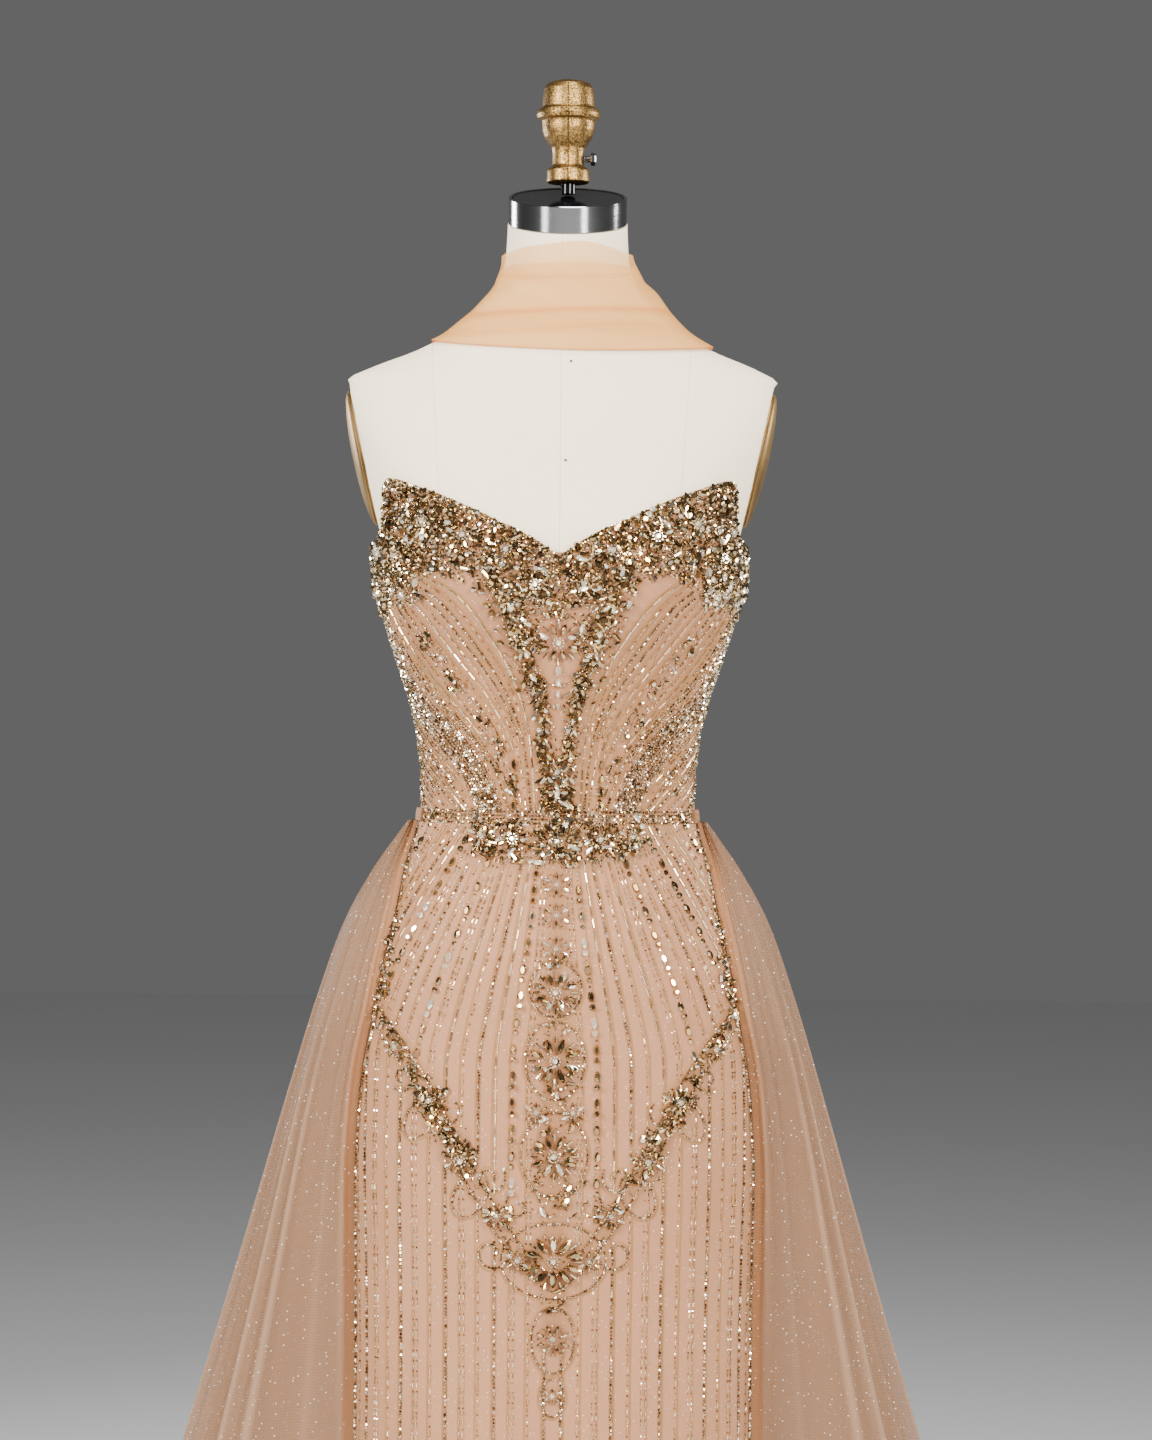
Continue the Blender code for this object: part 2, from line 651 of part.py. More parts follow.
def make_torso(linen, collection):
    heights = [FORM_BOTTOM_Z, 0.80, 0.88, 0.95, 1.00, 1.05, 1.098, 1.135, 1.175, 1.215, 1.25, 1.28, 1.31]
    heights += [ARM_BOTTOM_Z, 1.37, 1.407, 1.44, 1.464, SHOULDER_SEAM_Z, 1.483, 1.493]
    heights += [*NECK_HEIGHTS, NECK_TOP_Z]
    columns = FORM_COLUMNS
    angle = np.linspace(0.0, 2 * math.pi, columns + 1)[:-1][None, :]
    z = np.array(heights)[:, None]
    covered = 1 - step_up(z, 1.300, 1.365)
    points = moved_out(lambda a, h: body(a, h, FORM_BUST), angle, z, -FORM_SLIM * covered)
    reach = ARM_PLANE_X + ARM_PLANE_SLOPE * (z - ARM_PLANE_Z)
    flat = (z > ARM_BOTTOM_Z - 0.001) & (z < SHOULDER_SEAM_Z)
    x = points[..., 0]
    points[..., 0] = np.where(flat, np.clip(x, -reach, reach), x)
    points = tilted(points)
    rows = len(heights)
    faces = []
    for r in range(rows - 1):
        for c in range(columns):
            d = (c + 1) % columns
            low, high = r * columns, (r + 1) * columns
            faces.append((low + c, low + d, high + d, high + c))
    faces.append(tuple(range(columns - 1, -1, -1)))
    faces.append(tuple((rows - 1) * columns + c for c in range(columns)))
    mesh = bpy.data.meshes.new("form_torso")
    mesh.from_pydata(points.reshape(-1, 3).tolist(), [], faces)
    mesh.shade_smooth()
    mesh.set_sharp_from_angle(angle=math.radians(50))
    add_object("form_torso", mesh, linen, collection)


def make_arm_plates(brass, collection):
    steps = np.linspace(0.0, 1.0, 6)
    profile = [(r, ARM_PLATE_RIM + ARM_PLATE_DOME * math.sqrt(max(0.0, 1 - r * r))) for r in steps]
    profile += [(1.0, 0.0), (0.0, 0.0)]
    lean = math.atan(ARM_PLANE_SLOPE)
    for suffix, side in (("left", 1), ("right", -1)):
        plate = turned("form_arm_plate_" + suffix, profile, brass, collection)
        for vertex in plate.data.vertices:
            vertex.co.x *= ARM_PLATE_DEEP
        out = Vector((side * math.cos(lean), 0.0, -math.sin(lean)))
        up = Vector((side * math.sin(lean), 0.0, math.cos(lean)))
        turn = Matrix((up.cross(out), up, out)).transposed()
        place = Vector((side * ARM_PLANE_X, ARM_PLATE_Y, ARM_PLANE_Z)) + out * SEAM_GAP
        oval = Vector((1.0, ARM_PLATE_HIGH / ARM_PLATE_DEEP, 1.0))
        plate.matrix_world = Matrix.LocRotScale(place, turn, oval)


def make_neck_hardware(steel, black, gold, collection):
    lift = SEAM_GAP
    axis = (0.0, -math.sin(NECK_TILT), math.cos(NECK_TILT))
    base = (NECK_ASIDE, 0.0, NECK_TOP_Z)

    def along(distance):
        return tuple(base[k] + axis[k] * distance for k in range(3))

    band = turned(
        "form_neck_band",
        ring_profile(BAND_RADIUS, BAND_RADIUS - NECK_BAND_WALL, NECK_BAND_HIGH),
        steel,
        collection,
        steps=40,
    )
    band.location = along(lift)
    band.rotation_euler = (NECK_TILT, 0.0, 0.0)
    disc_top = NECK_BAND_HIGH - DISC_SUNK
    profile = [(0.0, DISC_THICK), (DISC_RADIUS, DISC_THICK), (DISC_RADIUS, 0.0), (0.0, 0.0)]
    disc = turned("form_neck_disc", profile, black, collection, steps=40)
    disc.location = along(lift + disc_top - DISC_THICK)
    disc.rotation_euler = (NECK_TILT, 0.0, 0.0)
    middle = along(lift + disc_top)
    shaft_foot = middle[2] + (SHAFT_RADIUS - middle[1]) * math.tan(NECK_TILT) + SEAM_GAP
    shaft_top = FINIAL_BOTTOM_Z - SEAM_GAP
    profile = [(0.0, shaft_top), (SHAFT_RADIUS, shaft_top), (SHAFT_RADIUS, shaft_foot), (0.0, shaft_foot)]
    shaft = turned("form_neck_shaft", profile, black, collection, steps=20)
    shaft.location.x = NECK_ASIDE
    profile = [(row.radius, FINIAL_BOTTOM_Z + row.height) for row in FINIAL]
    finial = turned("form_finial", profile, gold, collection)
    finial.location.x = NECK_ASIDE


def make_set_screw(steel, collection):
    profile = [
        (0.0, SCREW_END_X),
        (SCREW_HEAD, SCREW_END_X),
        (SCREW_HEAD, SCREW_HEAD_X),
        (SCREW_SHANK, SCREW_HEAD_X),
        (SCREW_SHANK, SCREW_START_X + SEAM_GAP),
        (0.0, SCREW_START_X + SEAM_GAP),
    ]
    screw = turned("form_set_screw", profile, steel, collection, steps=12)
    screw.rotation_euler = (0.0, math.pi / 2, 0.0)
    screw.location = (NECK_ASIDE, 0.0, SCREW_Z)


def make_stand(black, collection):
    profile = [
        (0.0, BOSS_HIGH),
        (BOSS_RADIUS - 0.004, BOSS_HIGH),
        (BOSS_RADIUS, BOSS_HIGH - 0.004),
        (BOSS_RADIUS, BASE_HIGH + 0.004),
        (BASE_RADIUS - 0.012, BASE_HIGH),
        (BASE_RADIUS, BASE_HIGH - 0.004),
        (BASE_RADIUS, 0.0),
        (0.0, 0.0),
    ]
    turned("stand_base", profile, black, collection, steps=36)
    top = FORM_BOTTOM_Z - SEAM_GAP
    profile = [
        (0.0, top),
        (FLANGE_RADIUS, top),
        (FLANGE_RADIUS, top - FLANGE_THICK),
        (POLE_RADIUS, top - FLANGE_THICK),
        (POLE_RADIUS, BOSS_HIGH + SEAM_GAP),
        (0.0, BOSS_HIGH + SEAM_GAP),
    ]
    turned("stand_pole", profile, black, collection, steps=24)


def main():
    clear_scene()
    collection = bpy.data.collections.new("evening_gown_on_form")
    bpy.context.scene.collection.children.link(collection)
    cloth = material("beaded_cloth", (0.72, 0.50, 0.38), 0.55)
    tulle = material("glitter_tulle", (0.74, 0.55, 0.42), 0.60)
    tape = material("zip_tape", (0.70, 0.50, 0.40), 0.60)
    linen = material("form_linen", (0.78, 0.75, 0.69), 0.85)
    brass = material("plate_brass", (0.45, 0.29, 0.12), 0.40, 1.0)
    steel = material("brushed_steel", (0.62, 0.62, 0.63), 0.28, 1.0)
    black = material("gloss_black", (0.01, 0.01, 0.01), 0.15)
    gold = material("cast_gold_paint", (0.55, 0.36, 0.12), 0.45, 1.0)
    make_gown(cloth, tape, collection)
    make_overskirt(tulle, collection)
    make_neck_wrap(tulle, collection)
    make_torso(linen, collection)
    make_arm_plates(brass, collection)
    make_neck_hardware(steel, black, gold, collection)
    make_set_screw(steel, collection)
    make_stand(black, collection)


main()
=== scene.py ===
"""The looks of a strapless beaded mermaid gown with a sheer overskirt and a neck wrap, on a limbless form.

Metres, +Z up. The front faces -Y, and left is the wearer's own, +X. Each cloth piece is a fine shell on
the form of its solid. Beads and cut stones are sewn along lines and over zones of those shells.
"""

import json
import math
from collections import namedtuple

import bpy
import numpy as np
from mathutils import Matrix, Vector

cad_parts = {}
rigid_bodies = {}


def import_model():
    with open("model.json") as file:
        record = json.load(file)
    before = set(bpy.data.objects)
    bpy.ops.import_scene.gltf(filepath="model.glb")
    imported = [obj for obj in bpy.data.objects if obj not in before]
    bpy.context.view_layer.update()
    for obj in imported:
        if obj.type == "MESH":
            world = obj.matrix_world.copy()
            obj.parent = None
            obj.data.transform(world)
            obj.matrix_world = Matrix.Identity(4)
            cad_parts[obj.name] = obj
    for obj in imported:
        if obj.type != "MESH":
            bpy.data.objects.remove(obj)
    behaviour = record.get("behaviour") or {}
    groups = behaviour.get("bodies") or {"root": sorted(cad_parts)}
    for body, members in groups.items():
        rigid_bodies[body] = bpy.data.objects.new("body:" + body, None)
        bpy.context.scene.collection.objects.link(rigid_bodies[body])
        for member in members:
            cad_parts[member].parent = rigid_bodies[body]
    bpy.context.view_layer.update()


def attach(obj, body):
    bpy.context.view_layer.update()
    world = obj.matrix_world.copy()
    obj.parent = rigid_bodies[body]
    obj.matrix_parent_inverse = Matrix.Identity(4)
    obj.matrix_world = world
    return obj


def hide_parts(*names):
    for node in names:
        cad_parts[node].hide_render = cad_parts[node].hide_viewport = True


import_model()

# ------------------------------------------------------------------ sizes shared with the solids
WAIST_Z = 1.098
HEM_Z = 0.012
SEAM_GAP = 0.0003  # between pieces that lie side by side
FORM_EASE = 0.0012  # between the figure and the inside of the gown
FORM_SLIM = 0.0018  # how much slimmer than the figure the form is under the gown
FORM_BUST = 0.85  # the form's share of the figure's bust
CLOTH = 0.0020
TULLE = 0.0010
BEADING = 0.0013  # how far the thick beadwork stands out

FORM_BOTTOM_Z = 0.720
SLIM_TOP_Z = 1.300  # from here to the next height the form stops being slimmer than the gown's inside
SLIM_END_Z = 1.365
NECK_TOP_Z = 1.6115
NECK_TILT = math.radians(16.5)
TILT_START_Z = 1.530
NECK_ASIDE = 0.0042  # the neck stands this much to the left of the body's middle
ASIDE_START_Z = 1.462
ASIDE_END_Z = 1.500

ARM_BOTTOM_Z = 1.337
ARM_TOP_Z = 1.474
ARM_PLANE_X = 0.1705
ARM_PLANE_Z = 1.407
ARM_PLANE_SLOPE = 0.219
ARM_PLATE_HIGH = 0.0600
ARM_PLATE_DEEP = 0.0395
ARM_PLATE_DOME = 0.0085
ARM_PLATE_RIM = 0.0015
ARM_PLATE_Y = 0.0030

BUST_X = 0.081
BUST_Z = 1.292
BUST_REACH = 0.0185
BUST_WIDE = 0.050
BUST_BELOW = 0.046
BUST_ABOVE = 0.072

ZIP_WIDE = 0.0050
ZIP_THICK = 0.0014
ZIP_BOTTOM_Z = 0.930
ZIP_SHORT = 0.0040

HEM_WAVES = 9
HEM_WAVE = 0.0100
FLARE_START_Z = 0.520

BAND_HIGH = 0.0110
BAND_TOP_Z = 1.1030
BAND_THICK = 0.0030
BAND_START = math.radians(74.0)

FOLDS = 8
OVERSKIRT_EASE = 0.0030
UNDER_GAP = 0.0005
LAYER_SPREAD = 0.0060
UNDER_FOLDS = 5
UNDER_FOLD = 0.0080
UNDER_START = 0.013
FRONT_PART = 0.30  # the share of the overskirt that lies before its side

WRAP_BOTTOM_Z = 1.5045
WRAP_INNER_TOP_Z = 1.5760
WRAP_OUTER_TOP_Z = 1.5900
WRAP_EASE = 0.0012
WRAP_SLACK = 0.0075  # how far it bellies out at the left side
WRAP_SLACK_Z = 1.545
WRAP_SLACK_HIGH = 0.026

BAND_RADIUS = 0.0515
NECK_BAND_HIGH = 0.0233
NECK_BAND_WALL = 0.0030
DISC_RADIUS = 0.0482
DISC_THICK = 0.0040
DISC_SUNK = 0.0008
SHAFT_RADIUS = 0.0065
FINIAL_BOTTOM_Z = 1.6470
RIDGE_WIDE = 0.0006  # half the width of the casting's seam
SCREW_SHANK = 0.0028
SCREW_HEAD = 0.0056
SCREW_Z = 1.6680
SCREW_START_X = 0.0140
SCREW_HEAD_X = 0.0195
SCREW_END_X = 0.0240

POLE_RADIUS = 0.0125
BASE_RADIUS = 0.2000
BASE_HIGH = 0.0100
BOSS_RADIUS = 0.0300
BOSS_HIGH = 0.0300
FLANGE_RADIUS = 0.0450
FLANGE_THICK = 0.0060


def table(columns, *rows):
    """Rows of numbers, with a name for each column."""
    row = namedtuple("Row", columns)
    return tuple(row(*numbers) for numbers in rows)


# the figure's level sections: half width, how deep in front and behind, and how square
SECTIONS = table(
    "z half_width front back square",
    (0.012, 0.270, 0.232, 0.262, 2.0), (0.100, 0.249, 0.205, 0.232, 2.0), (0.200, 0.225, 0.174, 0.196, 2.0),
    (0.300, 0.202, 0.144, 0.160, 2.1), (0.400, 0.182, 0.117, 0.127, 2.1), (0.500, 0.1685, 0.101, 0.105, 2.2),
    (0.620, 0.1680, 0.097, 0.102, 2.2), (0.720, 0.1695, 0.098, 0.108, 2.2), (0.800, 0.1715, 0.101, 0.116, 2.2),
    (0.880, 0.1700, 0.104, 0.121, 2.2), (0.950, 0.1610, 0.104, 0.113, 2.15), (1.000, 0.1490, 0.099, 0.099, 2.1),
    (1.050, 0.1330, 0.091, 0.084, 2.1), (1.098, 0.1165, 0.085, 0.075, 2.1), (1.125, 0.1150, 0.085, 0.074, 2.1),
    (1.163, 0.1185, 0.089, 0.078, 2.1), (1.197, 0.1262, 0.096, 0.083, 2.15), (1.232, 0.1375, 0.106, 0.089, 2.2),
    (1.267, 0.1485, 0.117, 0.094, 2.2), (1.302, 0.1560, 0.122, 0.098, 2.3), (1.337, 0.1570, 0.117, 0.101, 2.4),
    (1.380, 0.1700, 0.103, 0.103, 2.5), (1.420, 0.1810, 0.088, 0.102, 2.5), (1.455, 0.1875, 0.074, 0.097, 2.2),
    (1.474, 0.1870, 0.066, 0.092, 1.8), (1.486, 0.1660, 0.062, 0.088, 1.7), (1.500, 0.1310, 0.058, 0.083, 1.7),
    (1.515, 0.1030, 0.055, 0.077, 1.8), (1.535, 0.0790, 0.053, 0.069, 1.9), (1.560, 0.0590, 0.051, 0.060, 2.0),
    (1.585, 0.0532, 0.0515, 0.0545, 2.0), (1.625, 0.0515, 0.0510, 0.0510, 2.0),
)

# the gown's top edge, by the angle from the middle of the front
NECKLINE = table(
    "degrees z",
    (0.0, 1.3180), (4.5, 1.3305), (9.0, 1.3390), (15.0, 1.3475), (20.0, 1.3550), (26.0, 1.3630), (32.0, 1.3700),
    (38.0, 1.3755), (45.0, 1.3810), (50.0, 1.3842), (53.0, 1.3850), (56.0, 1.3815), (60.0, 1.3680),
    (65.0, 1.3520), (70.5, 1.3390), (80.0, 1.3325), (92.0, 1.3290), (115.0, 1.3200), (145.0, 1.3070),
    (180.0, 1.3000),
)

# the angles of the princess seams and the side seams, in degrees
SEAMS = table(
    "z princess side",
    (1.098, 24.0, 94.0), (1.200, 31.0, 94.0), (1.290, 38.0, 94.0), (1.390, 44.0, 94.0),
)

# the overskirt: the angle of its front edge, and its size without its folds
OVERSKIRT = table(
    "z edge_degrees half_width side_y back fold",
    (0.012, 80.0, 0.4640, 0.060, 0.4700, 0.0120), (0.300, 82.0, 0.3790, 0.045, 0.3800, 0.0100),
    (0.550, 86.0, 0.3100, 0.032, 0.3020, 0.0075), (0.760, 81.0, 0.2520, 0.022, 0.2380, 0.0050),
    (0.850, 75.0, 0.2280, 0.018, 0.2100, 0.0037), (0.940, 67.0, 0.2030, 0.013, 0.1780, 0.0024),
    (1.005, 68.0, 0.1820, 0.009, 0.1450, 0.0014), (1.050, 74.0, 0.1590, 0.004, 0.1120, 0.0007),
    (1.092, 84.0, 0.1300, 0.000, 0.0880, 0.0002),
)

# lines of thick beadwork on the front's left half: from, to, half width and share of its thickness
STROKES = table(
    "x1 z1 x2 z2 spread share",
    (0.062, 1.322, 0.012, 1.190, 0.012, 1.0), (0.012, 1.190, 0.008, 1.105, 0.010, 0.9),
    (0.142, 1.335, 0.128, 1.290, 0.014, 0.9), (0.138, 1.270, 0.100, 1.190, 0.010, 0.6),
    (0.100, 1.190, 0.052, 1.105, 0.009, 0.6), (0.000, 1.068, 0.066, 1.070, 0.012, 1.0),
    (0.000, 1.060, 0.000, 0.930, 0.011, 0.8), (0.000, 0.930, 0.000, 0.660, 0.014, 1.0),
    (0.152, 1.020, 0.158, 0.945, 0.010, 0.9), (0.158, 0.945, 0.110, 0.868, 0.009, 0.8),
    (0.110, 0.868, 0.074, 0.800, 0.013, 1.0), (0.074, 0.800, 0.024, 0.722, 0.012, 0.9),
)

YOKE_DEEP = 0.042  # the thick beadwork's depth under the neckline
YOKE_FADE = 0.010
YOKE_END = 100.0  # the angle at which it ends, in degrees

# the finial's profile, from its top down
FINIAL = table(
    "radius height",
    (0.0000, 0.0905), (0.0075, 0.0898), (0.0145, 0.0882), (0.0190, 0.0862), (0.0213, 0.0825), (0.0224, 0.0749),
    (0.0232, 0.0650), (0.0268, 0.0636), (0.0277, 0.0598), (0.0268, 0.0557), (0.0231, 0.0540), (0.0227, 0.0457),
    (0.0208, 0.0396), (0.0172, 0.0340), (0.0144, 0.0304), (0.0137, 0.0250), (0.0137, 0.0150), (0.0183, 0.0116),
    (0.0186, 0.0012), (0.0174, 0.0000), (0.0000, 0.0000),
)

# ------------------------------------------------------------------ surfaces shared with the solids
STEP = 1e-3  # how far to either side of a point a surface is read, to find its slope


def smooth(xs, ys, x):
    """A curve through the points (xs, ys) that never swings past them, read at x."""
    xs, ys = np.asarray(xs, float), np.asarray(ys, float)
    run = np.diff(xs)
    rise = np.diff(ys) / run
    slope = np.zeros(len(xs))
    for k in range(1, len(xs) - 1):
        if rise[k - 1] * rise[k] > 0:
            before = 2 * run[k] + run[k - 1]
            after = run[k] + 2 * run[k - 1]
            slope[k] = (before + after) / (before / rise[k - 1] + after / rise[k])
    slope[0], slope[-1] = rise[0], rise[-1]
    x = np.clip(x, xs[0], xs[-1])
    k = np.clip(np.searchsorted(xs, x) - 1, 0, len(run) - 1)
    t = (x - xs[k]) / run[k]
    start, end = ys[k], ys[k + 1]
    ease = t * t * (3 - 2 * t)
    pull = t * (1 - t) * run[k] * ((1 - t) * slope[k] - t * slope[k + 1])
    return start + (end - start) * ease + pull


def column(rows, name, x, key="z"):
    """One column of a table as a smooth curve over another, read at x."""
    return smooth([getattr(row, key) for row in rows], [getattr(row, name) for row in rows], x)


def step_up(x, low, high):
    t = np.clip((x - low) / (high - low), 0.0, 1.0)
    return t * t * (3 - 2 * t)


def stack(x, y, z):
    return np.stack(np.broadcast_arrays(x, y, z), axis=-1)


def unit(vectors):
    return vectors / np.linalg.norm(vectors, axis=-1, keepdims=True)


def way_round(surface, angle, z):
    """How a surface's points move as the angle grows by twice the STEP."""
    return surface(angle + STEP, z) - surface(angle - STEP, z)


def body(angle, z, bust_share=1.0):
    """Points of the figure at angles from the middle of the front, in radians, and heights."""
    half = column(SECTIONS, "half_width", z)
    front, back = column(SECTIONS, "front", z), column(SECTIONS, "back", z)
    power = 2.0 / column(SECTIONS, "square", z)
    across = np.sin(angle)
    ahead = np.cos(angle)
    x = half * np.sign(across) * np.abs(across) ** power
    y = -np.where(ahead > 0, front, back) * np.sign(ahead) * np.abs(ahead) ** power
    tall = np.where(z > BUST_Z, BUST_ABOVE, BUST_BELOW)
    bust = np.exp(-(((np.abs(x) - BUST_X) / BUST_WIDE) ** 2 + ((z - BUST_Z) / tall) ** 2))
    y = y - bust_share * BUST_REACH * bust * step_up(ahead, 0.0, 0.5)
    flare = step_up(FLARE_START_Z - z, 0.0, FLARE_START_Z - HEM_Z)
    swell = 1 + flare * HEM_WAVE * np.cos(HEM_WAVES * angle) / np.maximum(half, 0.1)
    return stack(x * swell, y * swell, z)


def moved_out(surface, angle, z, lift):
    """Points of a surface moved out in their own level plane."""
    points, along = surface(angle, z), way_round(surface, angle, z)
    out = unit(np.stack([along[..., 1], -along[..., 0]], axis=-1))
    points[..., :2] += out * np.broadcast_to(lift, points.shape[:-1])[..., None]
    return points


def neckline(angle):
    return column(NECKLINE, "z", np.degrees(np.abs(angle)), key="degrees")


def near(strokes, angle, z):
    """How much of the strokes' thickness lies at this place of the front, as a share."""
    place = body(angle, z)
    x, ahead = np.abs(place[..., 0]), np.cos(angle)
    thick = np.zeros(np.shape(x))
    for line in strokes:
        along = np.array([line.x2 - line.x1, line.z2 - line.z1])
        t = ((x - line.x1) * along[0] + (z - line.z1) * along[1]) / (along @ along)
        t = np.clip(t, 0.0, 1.0)
        away = np.hypot(x - line.x1 - t * along[0], z - line.z1 - t * along[1])
        thick = np.maximum(thick, line.share * (1 - step_up(away, 0.5 * line.spread, 1.4 * line.spread)))
    return thick * step_up(ahead, -0.05, 0.15)


def yoke_share(angle, z, deep, fade):
    """How much of the yoke's thickness lies at this place, as a share."""
    yoke = 1 - step_up(neckline(angle) - z, deep, deep + fade)
    yoke = yoke * (1 - step_up(np.degrees(np.abs(angle)), 0.85 * YOKE_END, YOKE_END))
    return np.where(z > WAIST_Z, yoke, 0.0)


def beading(angle, z):
    """How far the thick beadwork stands out of the gown at this place."""
    return BEADING * np.maximum(near(STROKES, angle, z), yoke_share(angle, z, YOKE_DEEP, YOKE_FADE))


def overskirt(share, z):
    """Points of the overskirt's left half, from its front edge (share 0) to the middle of the back (1)."""
    edge_angle = np.radians(column(OVERSKIRT, "edge_degrees", z))
    on_skirt = moved_out(body, edge_angle, z, FORM_EASE + CLOTH + BEADING + OVERSKIRT_EASE)
    half = column(OVERSKIRT, "half_width", z)
    side_y = column(OVERSKIRT, "side_y", z)
    back = column(OVERSKIRT, "back", z)
    t = np.minimum(share / FRONT_PART, 1.0) * math.pi / 2
    u = np.maximum((share - FRONT_PART) / (1 - FRONT_PART), 0.0) * math.pi / 2
    before = share < FRONT_PART
    x = np.where(before, on_skirt[..., 0] + (half - on_skirt[..., 0]) * np.sin(t), half * np.cos(u))
    y_front = side_y - (side_y - on_skirt[..., 1]) * np.cos(t)
    y = np.where(before, y_front, side_y + (back - side_y) * np.sin(u))
    return stack(x, y, z)


def folded_overskirt(share, z):
    """The overskirt with its deep folds, uneven in pitch and depth."""
    depth = column(OVERSKIRT, "fold", z)
    run = share + 0.018 * np.sin(2 * math.pi * 2.3 * share + 0.6)
    wave = np.sin(2 * math.pi * FOLDS * run) * (0.78 + 0.22 * np.cos(2 * math.pi * 1.7 * share))
    settle = step_up(share, 0.0, 0.05)
    return moved_out(overskirt, share, z, depth * (1 + wave) * settle)


def under_overskirt(share, z):
    """The overskirt's under layer, just inside the outer one at the waist and further in at the hem."""
    drop = (BAND_TOP_Z - z) / (BAND_TOP_Z - HEM_Z)
    wave = 0.5 + 0.5 * np.sin(2 * math.pi * UNDER_FOLDS * share + 1.0)
    inward = TULLE + UNDER_GAP + LAYER_SPREAD * drop + UNDER_FOLD * drop * wave
    return moved_out(overskirt, share, z, -inward)


def tilted(points):
    """Sets the neck aside, and leans its rings forward, more and more from its root to its top."""
    lean = math.tan(NECK_TILT) * step_up(points[..., 2], TILT_START_Z, NECK_TOP_Z)
    points = points.copy()
    points[..., 0] += NECK_ASIDE * step_up(points[..., 2], ASIDE_START_Z, ASIDE_END_Z)
    points[..., 2] += points[..., 1] * lean
    return points


def wrap_slack(angle, z):
    """How far the wrap bellies out at the left side of the neck."""
    belly = np.exp(-(((z - WRAP_SLACK_Z) / WRAP_SLACK_HIGH) ** 2))
    return WRAP_SLACK * step_up(np.sin(angle), 0.1, 0.9) * belly


def arc_gap(angle, z, width):
    """The angle that a width along the cloth takes up at this place."""
    return width * 2 * STEP / np.linalg.norm(way_round(body, angle, z)[..., :2], axis=-1)


def seam(name, away):
    """Where a panel ends, half a gap to one side of a seam: a function from height to angle."""

    def edge(z):
        angle = np.radians(column(SEAMS, name, z))
        return angle + away * arc_gap(angle, z, SEAM_GAP / 2)

    return edge


def back_edge(z):
    """Where a back panel ends: at the zip, and below it at the plain seam."""
    beside_zip = step_up(z, ZIP_BOTTOM_Z, ZIP_BOTTOM_Z + 0.008)
    width = SEAM_GAP / 2 + (ZIP_WIDE / 2 + SEAM_GAP / 2) * beside_zip
    return math.pi - arc_gap(math.pi, z, width)


def gown_face(angle, z):
    """The outside of the gown's cloth, over its thick beadwork."""
    return moved_out(body, angle, z, FORM_EASE + CLOTH + beading(angle, z))


def facing(surface, angle, z):
    """The direction straight out of a surface."""
    up = surface(angle, z + STEP) - surface(angle, z - STEP)
    return unit(np.cross(way_round(surface, angle, z), up))


# ------------------------------------------------------------------ node trees


def math_method(operation, swapped=False):
    """A method of Signal that adds one Math node to the tree."""

    def method(self, other=0.0):
        ends = (other, self) if swapped else (self, other)
        return self.tree.node("ShaderNodeMath", dict(enumerate(ends)), operation=operation)

    return method


class Signal:
    """A socket of a node tree. Sums written with it add Math nodes to the tree."""

    __add__ = __radd__ = math_method("ADD")
    __mul__ = __rmul__ = math_method("MULTIPLY")
    __sub__, __rsub__ = math_method("SUBTRACT"), math_method("SUBTRACT", swapped=True)
    __gt__, __lt__ = math_method("GREATER_THAN"), math_method("LESS_THAN")
    __abs__, sine, remainder = math_method("ABSOLUTE"), math_method("SINE"), math_method("MODULO")
    at_least, at_most = math_method("MAXIMUM"), math_method("MINIMUM")

    def __init__(self, tree, socket):
        self.tree = tree
        self.socket = socket

    def output(self, name):
        """Another output of the same node."""
        return Signal(self.tree, self.socket.node.outputs[name])


class Tree:
    """A node tree that is written as calls: one for each node."""

    def __init__(self, tree):
        self.tree = tree

    def node(self, kind, inputs=None, output=0, **settings):
        """Adds a node: its settings first, then the values or links of its sockets."""
        made = self.tree.nodes.new(kind)
        for name, value in settings.items():
            setattr(made, name, value)
        for key, value in (inputs or {}).items():
            self.plug(made.inputs[key], value)
        return Signal(self, made.outputs[output])

    def plug(self, socket, value):
        if isinstance(value, Signal):
            self.tree.links.new(value.socket, socket)
        else:
            socket.default_value = (*value, 1.0) if socket.type == "RGBA" else value


